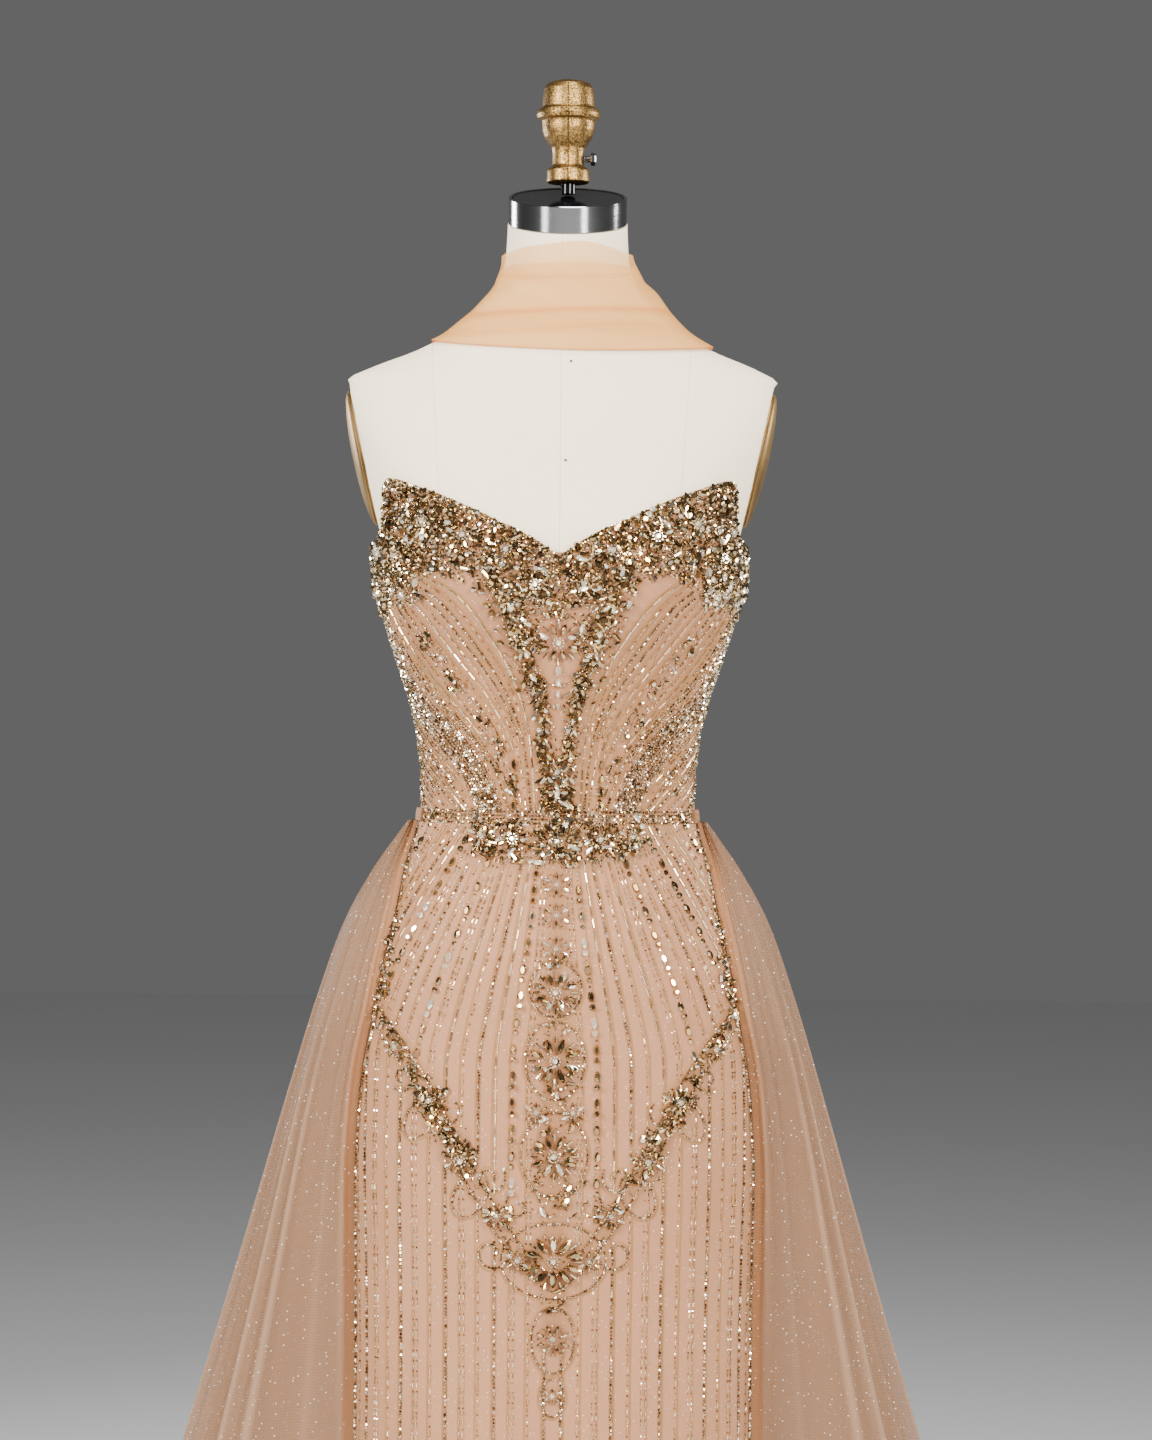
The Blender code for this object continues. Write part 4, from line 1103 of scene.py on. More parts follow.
def split_line(line, keep):
    """The stretches of a line where keep is true, if they are long enough to sew on."""
    ends = np.flatnonzero(np.diff([0, *keep, 0])).tolist()
    return [tuple(part[a:b] for part in line) for a, b in zip(ends[::2], ends[1::2]) if b - a > 2]


# ------------------------------------------------------------------ the gown's cloth
BODICE_BEADED_AND_SHADED = 0.08  # the bodice's cloth is this much darker all over: partly its beadwork's thread, partly painted shade between the beads
PANEL_COLUMNS = 28
PANEL_ROWS = 38
SKIRT_COLUMNS = 76
SKIRT_BACK_COLUMNS = 36
SKIRT_ROWS = 84


def gown_inside(angle, z):
    return moved_out(body, angle, z, FORM_EASE)


def bodice_grid(starts, ends, columns):
    """Angles and heights of a panel between two seams, from the waist seam up to the neckline."""
    across = np.linspace(0.0, 1.0, columns)
    bottom = WAIST_Z + SEAM_GAP / 2
    angle = starts(np.full(columns, bottom)) * (1 - across) + ends(np.full(columns, bottom)) * across
    rows = []
    for share in np.linspace(0.0, 1.0, PANEL_ROWS):
        for _ in range(4):
            height = bottom + share * (neckline(angle) - bottom)
            angle = starts(height) * (1 - across) + ends(height) * across
        rows.append((angle, height))
    return np.array(rows).swapaxes(0, 1)


def skirt_grid(starts, ends, columns):
    """Angles and heights of a panel between two seams, from the hem up to the waist seam."""
    z = np.linspace(HEM_Z, WAIST_Z - SEAM_GAP / 2, SKIRT_ROWS)[:, None]
    across = np.linspace(0.0, 1.0, columns)[None, :]
    return starts(z) * (1 - across) + ends(z) * across, np.broadcast_to(z, (SKIRT_ROWS, columns))


# where stones are strewn: the share is how thickly
STREWN = table(
    "x1 z1 x2 z2 spread share",
    (0.060, 1.318, 0.013, 1.190, 0.0085, 0.95), (0.013, 1.190, 0.008, 1.105, 0.0070, 0.80), STROKES[2],
    (0.000, 1.070, 0.062, 1.072, 0.0110, 0.75), (0.000, 1.286, 0.050, 1.300, 0.019, 1.0),
    (0.047, 1.290, 0.027, 1.245, 0.014, 1.0), (0.113, 1.252, 0.068, 1.186, 0.005, 0.5),
    (0.068, 1.186, 0.036, 1.120, 0.005, 0.5), (0.000, 1.144, 0.000, 1.104, 0.015, 0.7),
    (0.000, 1.082, 0.060, 1.086, 0.010, 0.75), (0.143, 1.020, 0.149, 0.945, 0.009, 0.55),
    (0.158, 0.945, 0.110, 0.868, 0.005, 0.25), (0.110, 0.868, 0.074, 0.800, 0.012, 0.32),
    (0.074, 0.800, 0.024, 0.722, 0.007, 0.2), (0.000, 0.722, 0.024, 0.722, 0.010, 0.25),
    (0.000, 0.975, 0.000, 0.870, 0.014, 0.22), (0.000, 0.840, 0.000, 0.770, 0.018, 0.27),
    (0.000, 0.690, 0.000, 0.600, 0.009, 0.27),
)
# how deep they reach under the neckline, and how softly that ends
STREWN_YOKE = table(
    "degrees deep", (0.0, 0.036), (14.0, 0.040), (30.0, 0.062), (48.0, 0.074), (66.0, 0.062), (100.0, 0.050)
)
STREWN_FADE = 0.012


def strewn(angle, z):
    """How thickly stones are strewn at this place, as a share."""
    deep = column(STREWN_YOKE, "deep", np.degrees(np.abs(angle)), key="degrees")
    return np.maximum(near(STREWN, angle, z), yoke_share(angle, z, deep, STREWN_FADE))


def gown_panel(name, grid, other_side=None):
    """A panel, and where it has one, the same panel on the other side."""
    outer, inner = gown_face(*grid), gown_inside(*grid)
    # darker where the beadwork is thick: partly its thread, partly painted shade between the stones
    worked = np.maximum(beading(*grid) / BEADING, strewn(*grid))
    worked = np.clip(worked + np.where(grid[1] > WAIST_Z, BODICE_BEADED_AND_SHADED, 0.0), 0.0, 1.0)
    panels = [(name, outer, inner, worked)]
    if other_side:
        panels.append((other_side, mirrored(outer), mirrored(inner), worked[:, ::-1]))
    for node, outside, inside, share in panels:
        obj = wall(node + "_cloth", outside, inside, cloth)
        add_value(obj, "worked", np.tile(share.ravel(), 2))
        place_cloth(obj, outside, "beaded_cloth", node)


princess_front, princess_side = seam("princess", -1), seam("princess", 1)
side_front, side_back = seam("side", -1), seam("side", 1)
centre_front = bodice_grid(lambda z: -princess_front(z), princess_front, PANEL_COLUMNS + 14)
side_front_left = bodice_grid(princess_side, side_front, PANEL_COLUMNS)
gown_panel("bodice_centre_front", centre_front)
gown_panel("bodice_side_front_left", side_front_left, "bodice_side_front_right")
gown_panel("bodice_back_left", bodice_grid(side_back, back_edge, PANEL_COLUMNS), "bodice_back_right")
gown_panel("skirt_front", skirt_grid(lambda z: -side_front(z), side_front, SKIRT_COLUMNS))
gown_panel("skirt_back_left", skirt_grid(side_back, back_edge, SKIRT_BACK_COLUMNS), "skirt_back_right")

zip_z = np.linspace(ZIP_BOTTOM_Z + 0.009, NECKLINE[-1].z - ZIP_SHORT, 60)[:, None]
zip_angle = math.pi + arc_gap(math.pi, zip_z, ZIP_WIDE / 2) * np.linspace(-1.0, 1.0, 7)[None, :]
zip_outer = moved_out(body, zip_angle, zip_z, FORM_EASE + ZIP_THICK)
place_part(wall("zip_tape", zip_outer, gown_inside(zip_angle, zip_z), cloth), "zip_tape", "centre_back_zip")

# ------------------------------------------------------------------ the overskirt
GATHERS = 62
GATHERED = (0.90, 1.09)  # between these heights the soft folds turn into gathers
HEM_TURN = 0.010  # the overskirt's front edge is turned back by this much
HEM_DEEP = (HEM_Z + 0.006, HEM_Z + 0.010)
EDGE_LIFT = 0.0012  # the overskirt's front edge rests on the skirt
RIDGE_TOP_Z = 1.020  # the painted highlights on the folds' ridges start at this height and are full at the next
RIDGE_FULL_Z = 0.800


def soft_folds(share, z):
    """Uneven folds that run down the overskirt, from -1 in a trough to 1 on a ridge."""
    wander = 0.006 * np.sin(5.0 * z + 11.0 * share)
    return np.sin(2 * math.pi * 21.0 * (share + wander)) * np.sin(2 * math.pi * 3.3 * share + 1.3)


def gathered_overskirt(share, z):
    """The overskirt with fine gathers under its band and soft uneven troughs below them."""
    near_band = step_up(z, *GATHERED)
    uneven = 0.7 + 0.3 * np.sin(31.0 * share)
    fine = np.sin(2 * math.pi * GATHERS * share + 3.0 * np.sin(9.0 * share)) * uneven
    lift = 0.0009 * near_band * fine + 0.0026 * (1 - near_band) * soft_folds(share, z)
    return moved_out(folded_overskirt, share, z, (lift - 0.0008) * step_up(share, 0.0, 0.03))


def middle_of_under(share, z):
    """The middle of the under layer, with fine gathers under the band."""
    fine = np.sin(2 * math.pi * GATHERS * share + 1.0)
    return moved_out(under_overskirt, share, z, -TULLE / 2 + 0.0003 * step_up(z, *GATHERED) * fine)


def edge_line(z, lift=0.0):
    """The line on the gown that the overskirt's front edge rests on."""
    return gown_line(np.radians(column(OVERSKIRT, "edge_degrees", z)), z, lift)


overskirt_top = BAND_TOP_Z - BAND_HIGH - SEAM_GAP
overskirt_z = HEM_Z + (overskirt_top - HEM_Z) * (1 - np.linspace(1.0, 0.0, 84) ** 1.25)
for layer, surface, finish, start, columns in (
    ("outer", gathered_overskirt, outer_net, 0.0, 190),
    ("under", middle_of_under, under_net, UNDER_START, 80),
):
    across = start + (1 - start) * np.linspace(0.0, 1.0, columns) ** 1.1
    z, share = np.meshgrid(overskirt_z, across, indexing="ij")
    grid = surface(share, z)
    if layer == "outer":
        grid[:, 0] = edge_line(overskirt_z, EDGE_LIFT)[0]
        # where the painted highlight lies on the folds' tops
        ridge = np.clip(soft_folds(share, z), 0.0, 1.0) ** 2 * step_up(-z, -RIDGE_TOP_Z, -RIDGE_FULL_Z)
    grid[:, -1, 0] = SEAM_GAP / 2
    turn_back = 1 - step_up(run_lengths(grid, 1), HEM_TURN, HEM_TURN + 0.002)
    doubled = np.maximum(turn_back, 1 - step_up(z, *HEM_DEEP))
    for end, one_side, way in (("left", grid, 1), ("right", mirrored(grid), -1)):
        node = f"overskirt_{layer}_{end}"
        obj = veil(node + "_net", one_side, finish, doubled[:, ::way])
        if layer == "outer":
            add_value(obj, "ridge", ridge[:, ::way])
        place_cloth(obj, one_side, "glitter_tulle", node)

band_angle = np.linspace(BAND_START, 2 * math.pi - BAND_START, 320)[None, :]
band_z = np.linspace(BAND_TOP_Z - BAND_HIGH, BAND_TOP_Z, 7)[:, None]
band_angle, band_z = np.broadcast_arrays(band_angle, band_z)
band_ease = FORM_EASE + CLOTH + 2 * SEAM_GAP + beading(band_angle, band_z)
pucker = np.sin(band_angle * 70.0 + 2.0 * np.sin(band_angle * 9.0)) * 0.0003
bulge = 0.0005 * np.sin(math.pi * (band_z - BAND_TOP_Z + BAND_HIGH) / BAND_HIGH)
band_outer = moved_out(body, band_angle, band_z, band_ease + BAND_THICK - 0.0006 + pucker + bulge)
band = wall("overskirt_band_net", band_outer, moved_out(body, band_angle, band_z, band_ease), outer_net)
add_map(band, band_outer, sides=2)
add_value(band, "doubled", np.full(2 * band_z.size, 0.8))
place_cloth(band, band_outer, "glitter_tulle", "overskirt_band")

# ------------------------------------------------------------------ the neck wrap


def wrap_creases(angle, z):
    """Soft slanting troughs of the wrap."""
    slant = 5.0 * np.sin(angle + 0.8) + 2.0 * np.sin(2 * angle)
    return 0.0005 * np.sin((z - WRAP_BOTTOM_Z) * 260.0 + slant) * np.sin(angle * 1.5 + 40.0 * z)


WRAP_DIP = 0.0080  # how much lower its bottom edge hangs at the middle of the front
WRAP_LAYERS = table(
    "name top ease crest folds",
    ("inner", WRAP_INNER_TOP_Z, WRAP_EASE, 0.0115, table(
        "high wave turn wide share", (0.0625, 0.0012, 0.3, 0.0020, 0.9), (0.0120, 0.0040, 2.2, 0.0060, 0.4)
    )),
    ("outer", WRAP_OUTER_TOP_Z, WRAP_EASE + TULLE + UNDER_GAP, 0.0215, table(
        "high wave turn wide share", (0.0255, 0.0024, 1.0, 0.0030, 0.8), (0.0110, 0.0040, 0.4, 0.0024, 0.4)
    )),
)
for layer in WRAP_LAYERS:
    angle = np.linspace(-math.pi, math.pi, 120, endpoint=False)[None, :]
    front = np.maximum(np.cos(angle), 0.0) ** 1.5
    wavy = 0.0010 * np.sin(2 * angle + 0.7) + 0.0008 * np.sin(5 * angle) + layer.crest * (front - 0.28)
    bottom = WRAP_BOTTOM_Z - WRAP_DIP * front - 0.0025 * np.sin(angle)
    share = np.linspace(0.0, 1.0, 64)[:, None]
    angle, z = np.broadcast_arrays(angle, bottom + (layer.top + wavy - bottom) * share)
    lift = layer.ease + TULLE / 2 + wrap_slack(angle, z) + wrap_creases(angle, z)
    grid = tilted(body(angle, z) + facing(body, angle, z) * lift[..., None])
    twice = 0.60 * (1 - step_up(np.minimum(share, 1 - share) + 0.0 * angle, 0.0, 0.02))
    for fold in layer.folds:
        fold_z = WRAP_BOTTOM_Z + fold.high + fold.wave * np.sin(2 * angle + fold.turn)
        twice = np.maximum(twice, fold.share * np.exp(-(((z - fold_z) / fold.wide) ** 2)))
    obj = veil(f"neck_wrap_{layer.name}_net", grid, wrap_cloth, twice, closed=True)
    place_cloth(obj, grid, "wrap_tulle", "neck_wrap_" + layer.name, closed=True)

# ------------------------------------------------------------------ the form


def form_body(angle, z):
    """The form under the gown: slimmer than the gown's inside, and flat where the arms would be."""
    covered = 1 - step_up(z, SLIM_TOP_Z, SLIM_END_Z)
    points = moved_out(lambda a, h: body(a, h, FORM_BUST), angle, z, -FORM_SLIM * covered)
    reach = ARM_PLANE_X + ARM_PLANE_SLOPE * (z - ARM_PLANE_Z)
    flat = (z > ARM_BOTTOM_Z - 0.001) & (z < ARM_TOP_Z)
    x = points[..., 0]
    points[..., 0] = np.where(flat, np.clip(x, -reach, reach), x)
    return tilted(points)


form_z = np.concatenate(
    [np.linspace(FORM_BOTTOM_Z, SLIM_TOP_Z, 26)[:-1], np.linspace(SLIM_TOP_Z, NECK_TOP_Z, 76)]
)
form_rings = form_body(np.linspace(0.0, 2 * math.pi, 136, endpoint=False)[None, :], form_z[:, None])
form_ends = ((0.0, 0.0, FORM_BOTTOM_Z), (NECK_ASIDE, 0.0, NECK_TOP_Z))
place_part(closed_rings("form_linen_body", form_rings, *form_ends, linen, 40.0), "form_linen", "form_torso")

PIN_PLACES = ((0.0052, 1.487), (0.0045, 1.400))
FACING_FRONT = np.array(((1, 0, 0), (0, 0, 1), (0, -1, 0)), float)
pin = moved(cut_gem(0.0026, 0.0026, 0.0012, 10))
pins = []
for x, z in PIN_PLACES:
    here = form_body(np.array([[angle_of(np.array(x), np.array(z))]]), np.array([[z]]))[0, 0]
    pins.append(Shape(pin.points @ FACING_FRONT + here, pin.faces))
place_part(new_object("form_pins", *together(*pins), screw_steel, 20.0), "brushed_steel")

reach = 1 - (1 - np.linspace(0.0, 1.0, 20)[:-1]) ** 2
plate_profile = [(r, ARM_PLATE_RIM + ARM_PLATE_DOME * math.sqrt(max(0.0, 1 - r * r))) for r in reach]
plate_profile += [(0.985, ARM_PLATE_RIM), (1.0, ARM_PLATE_RIM * 0.6), (1.0, 0.0), (0.0, 0.0)]
lean = math.atan(ARM_PLANE_SLOPE)
for end, way in (("left", 1), ("right", -1)):
    out = Vector((way * math.cos(lean), 0.0, -math.sin(lean)))
    up = Vector((way * math.sin(lean), 0.0, math.cos(lean)))
    turn = Matrix((up.cross(out), up, out)).transposed()
    where = Vector((way * ARM_PLANE_X, ARM_PLATE_Y, ARM_PLANE_Z)) + out * SEAM_GAP
    matrix = Matrix.LocRotScale(where, turn, Vector((ARM_PLATE_DEEP, ARM_PLATE_HIGH, 1.0)))
    name = "arm_plate_" + end
    turned(name, plate_profile, brass, "plate_brass", "form_" + name, steps=72, matrix=matrix)

tilt = Matrix.Rotation(NECK_TILT, 4, "X")
neck_axis = Vector((0.0, -math.sin(NECK_TILT), math.cos(NECK_TILT)))
neck_base = Vector((NECK_ASIDE, 0.0, NECK_TOP_Z)) + neck_axis * SEAM_GAP
aside = Matrix.Translation((NECK_ASIDE, 0.0, 0.0))

BEVEL = 0.0007
inner_radius = BAND_RADIUS - NECK_BAND_WALL
outline = [
    (BAND_RADIUS - BEVEL, NECK_BAND_HIGH),
    (BAND_RADIUS, NECK_BAND_HIGH - BEVEL),
    (BAND_RADIUS, BEVEL),
    (BAND_RADIUS - BEVEL, 0.0),
    (inner_radius + BEVEL, 0.0),
    (inner_radius, BEVEL),
    (inner_radius, NECK_BAND_HIGH - BEVEL),
    (inner_radius + BEVEL, NECK_BAND_HIGH),
]
loops = turned_rings(outline, 144).reshape(-1, 3)
quads = grid_quads(len(outline) + 1, 144, closed=True) % len(loops)
neck_band = new_object("neck_band_steel", loops, quads, steel, 30.0)
neck_band.data.transform(Matrix.Translation(neck_base) @ tilt)
place_part(neck_band, "brushed_steel", "form_neck_band")

DISC_BEVEL = 0.0006
disc_top = NECK_BAND_HIGH - DISC_SUNK
disc_profile = [
    (0.0, DISC_THICK),
    (DISC_RADIUS - DISC_BEVEL, DISC_THICK),
    (DISC_RADIUS, DISC_THICK - DISC_BEVEL),
    (DISC_RADIUS, 0.0),
    (0.0, 0.0),
]
disc_place = Matrix.Translation(neck_base + neck_axis * (disc_top - DISC_THICK)) @ tilt
turned("neck_disc_black", disc_profile, black, "gloss_black", "form_neck_disc", steps=144, matrix=disc_place)

middle = neck_base + neck_axis * disc_top
shaft_foot = middle.z + (SHAFT_RADIUS - middle.y) * math.tan(NECK_TILT) + SEAM_GAP
shaft_top = FINIAL_BOTTOM_Z - SEAM_GAP
shaft_profile = [(0.0, shaft_top), (SHAFT_RADIUS, shaft_top), (SHAFT_RADIUS, shaft_foot), (0.0, shaft_foot)]
turned("neck_shaft_black", shaft_profile, black, "gloss_black", "form_neck_shaft", 64, aside, sharp=38.0)

finial_profile = rounded([(row.radius, FINIAL_BOTTOM_Z + row.height) for row in FINIAL])
turned("finial_gold", finial_profile, gold, "cast_gold", "form_finial", matrix=aside, ridge=0.0004, sharp=60.0)

across = Matrix.Translation((NECK_ASIDE, 0.0, SCREW_Z)) @ Matrix.Rotation(math.pi / 2, 4, "Y")
HEAD_BEVEL = 0.0008
head_profile = [
    (0.0, SCREW_END_X),
    (SCREW_HEAD * 0.80, SCREW_END_X),
    (SCREW_HEAD, SCREW_END_X - HEAD_BEVEL),
    (SCREW_HEAD, SCREW_HEAD_X + HEAD_BEVEL),
    (SCREW_HEAD * 0.86, SCREW_HEAD_X),
    (0.0, SCREW_HEAD_X),
]
THREADS = 9
THREAD_DEEP = 0.0003
shank_profile = [(0.0, SCREW_HEAD_X)]
for k in range(THREADS):
    crest = SCREW_HEAD_X - THREAD_DEEP - k * (SCREW_HEAD_X - SCREW_START_X - 2 * THREAD_DEEP) / THREADS
    shank_profile += [(SCREW_SHANK, crest), (SCREW_SHANK - THREAD_DEEP, crest - THREAD_DEEP)]
shank_profile += [(SCREW_SHANK - THREAD_DEEP, SCREW_START_X + SEAM_GAP), (0.0, SCREW_START_X + SEAM_GAP)]
for part, profile, steps, sharp in (("head", head_profile, 6, 20.0), ("shank", shank_profile, 32, 30.0)):
    name = "set_screw_" + part
    turned(name, profile, screw_steel, "brushed_steel", "form_set_screw", steps, across, sharp=sharp)

BASE_BEVEL = 0.004
base_profile = [
    (0.0, BOSS_HIGH),
    (BOSS_RADIUS - BASE_BEVEL, BOSS_HIGH),
    (BOSS_RADIUS, BOSS_HIGH - BASE_BEVEL),
    (BOSS_RADIUS, BASE_HIGH + BASE_BEVEL),
    (BOSS_RADIUS + BASE_BEVEL, BASE_HIGH),
    (BASE_RADIUS - 3 * BASE_BEVEL, BASE_HIGH),
    (BASE_RADIUS, BASE_HIGH - BASE_BEVEL),
    (BASE_RADIUS, 0.0),
    (0.0, 0.0),
]
turned("stand_base_black", base_profile, black, "gloss_black", "stand_base", steps=128)
pole_top = FORM_BOTTOM_Z - SEAM_GAP
pole_profile = [
    (0.0, pole_top),
    (FLANGE_RADIUS, pole_top),
    (FLANGE_RADIUS, pole_top - FLANGE_THICK),
    (POLE_RADIUS, pole_top - FLANGE_THICK),
    (POLE_RADIUS, BOSS_HIGH + SEAM_GAP),
    (0.0, BOSS_HIGH + SEAM_GAP),
]
turned("stand_pole_black", pole_profile, black, "gloss_black", "stand_pole", steps=64)

# ------------------------------------------------------------------ the beadwork
SKIRT_PITCH = 0.0146  # between the skirt's rows, at the hips
BACK_PITCH = 0.0240  # the same at the back, under the overskirt
BACK_START = math.radians(130.0)
BODICE_BACK_PITCH = 0.0105
ROW_STEP = 0.0065
ROW_CLEAR = 0.30  # rows stop where the thick beadwork is more than this share of its height
HIP_Z = 0.800  # the rows are spaced out along the cloth at this height
BODICE_BACK_Z = 1.180

FAN_LOW_Z = 0.895  # below this the skirt's rows hang straight
FAN_HIGH_Z = 1.095
FAN = 0.50  # how much nearer to the middle they are at the waist
FAN_SIDE = math.radians(84.0)

SWAG_X = (0.000, 0.024, 0.074, 0.110, 0.158)
SWAG_Z = (0.700, 0.722, 0.800, 0.868, 0.935)
SWAG_CLEAR = 0.007

# lines that the bodice's rows follow, from the bust down to the waist
GUIDES = table(
    "degrees z",
    ((45.0, 33.0, 23.0, 14.8, 10.5, 8.5), (1.302, 1.288, 1.256, 1.215, 1.165, 1.104)),
    ((74.0, 62.0, 50.0, 36.0, 24.0, 17.0), (1.292, 1.250, 1.212, 1.178, 1.142, 1.104)),
    ((93.0, 87.0, 74.0, 53.0, 37.0, 28.0), (1.285, 1.238, 1.200, 1.172, 1.139, 1.104)),
    ((97.0, 94.0, 86.0, 70.0, 54.0, 44.0), (1.200, 1.176, 1.154, 1.134, 1.116, 1.104)),
    ((98.0, 96.0, 92.0, 87.0, 82.0, 78.0), (1.125, 1.120, 1.114, 1.109, 1.106, 1.104)),
)
GUIDE_ROWS = (10, 9, 13, 8)  # rows from each guide to the next
BAND_GUIDE = 2  # along this guide the silver chains lie side by side
BAND_ROWS = 4
EARLY_END = 0.80  # every other bodice row ends this far along
STRIP_EVERY = 5  # of so many bodice rows, two lie on a strip of darker net

LOOPS = table(
    "x z wide high turn",
    (0.000, 1.240, 0.023, 0.031, 0.0), (0.000, 0.952, 0.022, 0.023, 0.0), (0.000, 0.892, 0.025, 0.033, 0.0),
    (0.000, 0.812, 0.028, 0.036, 0.0), (0.000, 0.722, 0.044, 0.032, 0.0), (0.000, 0.655, 0.018, 0.028, 0.0),
    (0.000, 0.606, 0.010, 0.016, 0.0), (0.070, 0.777, 0.013, 0.020, 0.5), (0.112, 0.842, 0.011, 0.021, 0.5),
)
SCROLLS = table(
    "x z radius start turns",
    (0.052, 0.728, 0.017, 2.2, 1.15), (0.054, 0.792, 0.014, 2.6, 1.10), (0.030, 0.768, 0.012, 1.2, -1.00),
    (0.092, 0.846, 0.013, 2.4, 1.00), (0.128, 0.874, 0.012, 5.4, -1.05),
)


def both_sides(lines):
    """The lines, and the same ones on the other side."""
    flip = np.array((-1.0, 1.0, 1.0))
    return [*lines, *((place * flip, out * flip) for place, out in lines)]


def even_angles(z, pitch, low, high):
    """Angles at an even pitch along the cloth at one height."""
    angle = np.linspace(low, high, 1200)
    run = run_lengths(gown_face(angle, np.full(angle.shape, z))[None], 1)[0]
    count = max(1, round(run[-1] / pitch))
    return np.interp((np.arange(count) + 0.5) / count * run[-1], run, angle)


def sideways(line):
    """The direction over the cloth to the right of a line's own way, as seen from outside."""
    place, out = line
    return np.cross(unit(np.gradient(place, axis=0)), out)


def beside(line, away):
    """A line moved over the cloth to the right of its own way."""
    return line[0] + sideways(line) * away, line[1]


def couched(name, lines, width, height, finish):
    """Threads and net strips couched along lines: a low ridge with two faces. The dark threads beside the rows,
    and the strip beside the overskirt's edge, are partly painted shade.
    """
    points, faces = [], []
    for place, out in lines:
        aside = sideways((place, out)) * width / 2
        start = len(points)
        corners = np.stack([place - aside, place + out * height, place + aside], axis=1)
        points += corners.reshape(-1, 3).tolist()
        for a in range(start, start + 3 * len(place) - 3, 3):
            faces += [(a, a + 1, a + 4, a + 3), (a + 1, a + 2, a + 5, a + 4)]
    place_part(new_object(name, points, faces, finish, 80.0), "beaded_cloth")


def sewn(name, lines, pattern, finish, pitch, seed, spread, wobble, spin):
    """A run of beads along lines, as one piece."""
    values = {"Size": 1.0, "Spread": spread, "Wobble": wobble, "Spin": spin, "Seed": seed, "Finish": finish}
    rows.sew(line_object(name, lines), Pattern=pattern, Pitch=pitch, **values)


def front_line(x, z):
    """A line drawn on the front of the gown."""
    return gown_line(angle_of(x, z), z)


rows = row_sewing()
zones = zone_sewing()
places = place_sewing()

seed = cut_gem(0.0019, 0.0019, 0.0014, 5, table=0.5)
short_bugle = moved(roof(0.0034, 0.0013, 0.0010), x=0.0043)
bead_patterns = {
    "chain": (cut_gem(0.0030, 0.0028, 0.0019, 5, table=0.5), silver),
    "fine": (cut_gem(0.0025, 0.0023, 0.0017, 5, table=0.5), silver),
    "bugle": (moved(barrel(0.0092, 0.0008, 5, 0.08), z=0.0006), pearl),
    "dot": (seed, champagne),
    "dot_bugle": (short_bugle, pearl),
    "lanes": (together(moved(seed, x=-0.0010, y=0.0018), moved(seed, x=-0.0010, y=-0.0018)), silver),
    "lane_bugles": (together(moved(short_bugle, y=0.0018), moved(short_bugle, y=-0.0018)), pearl),
    "linked": (
        together(
            moved(cut_gem(0.0056, 0.0056, 0.0032, 8), x=-0.0068),
            moved(cut_gem(0.0100, 0.0054, 0.0030, 8, pointed=0.12, table=0.62), x=0.0020),
            moved(cut_gem(0.0024, 0.0024, 0.0018, 5), x=0.0100),
        ),
        champagne,
    ),
}
patterns = {key: pattern_object("pattern_" + key, *row) for key, row in bead_patterns.items()}

lines = {key: [] for key in ("chain", "fine", "bugle", "dot", "lanes", "linked", "thread_and_shadow", "strip")}
row_z = np.arange(HEM_Z + 0.004, WAIST_Z - 0.001, ROW_STEP)


def sew_rows(kind, stretches, aside=0.0026):
    """Keeps a row's stretches under its kind of bead, with a dark couched thread beside it that is partly the
    row's painted shadow.
    """
    lines[kind] += stretches
    lines["thread_and_shadow"] += [beside(line, aside) for line in stretches]


def skirt_row(start):
    """A row's stretches under the swag, and between the swag and the waist."""
    share = np.clip((row_z - FAN_LOW_Z) / (FAN_HIGH_Z - FAN_LOW_Z), 0.0, 1.0) ** 1.2
    angle = start * (1 - FAN * (1 - step_up(start, FAN_SIDE, math.pi)) * share)
    line = gown_line(angle, row_z)
    clear = (beading(angle, row_z) < 2 * ROW_CLEAR * BEADING) & (strewn(angle, row_z) < ROW_CLEAR)
    swag = np.interp(np.abs(line[0][:, 0]), SWAG_X, SWAG_Z)
    low = split_line(line, clear & (row_z < swag - SWAG_CLEAR))
    return low, split_line(line, clear & (row_z > swag + SWAG_CLEAR))


# kinds of rows, over and over: above the swag from the second row on, and below it
HIGH_ROWS = ("lanes", "linked", "bugle", "chain", "dot", "bugle", "lanes", "linked", "dot", "chain")
LOW_ROWS = ("chain", "dot", "lanes")
row_angles = [
    *even_angles(HIP_Z, SKIRT_PITCH, 0.0, BACK_START),
    *even_angles(HIP_Z, BACK_PITCH, BACK_START, math.pi - 0.02),
]
for number, start in enumerate(row_angles):
    low, high = skirt_row(start)
    sew_rows(LOW_ROWS[number % 3], low, 0.0024)
    sew_rows(HIGH_ROWS[(number - 1) % 10], high)

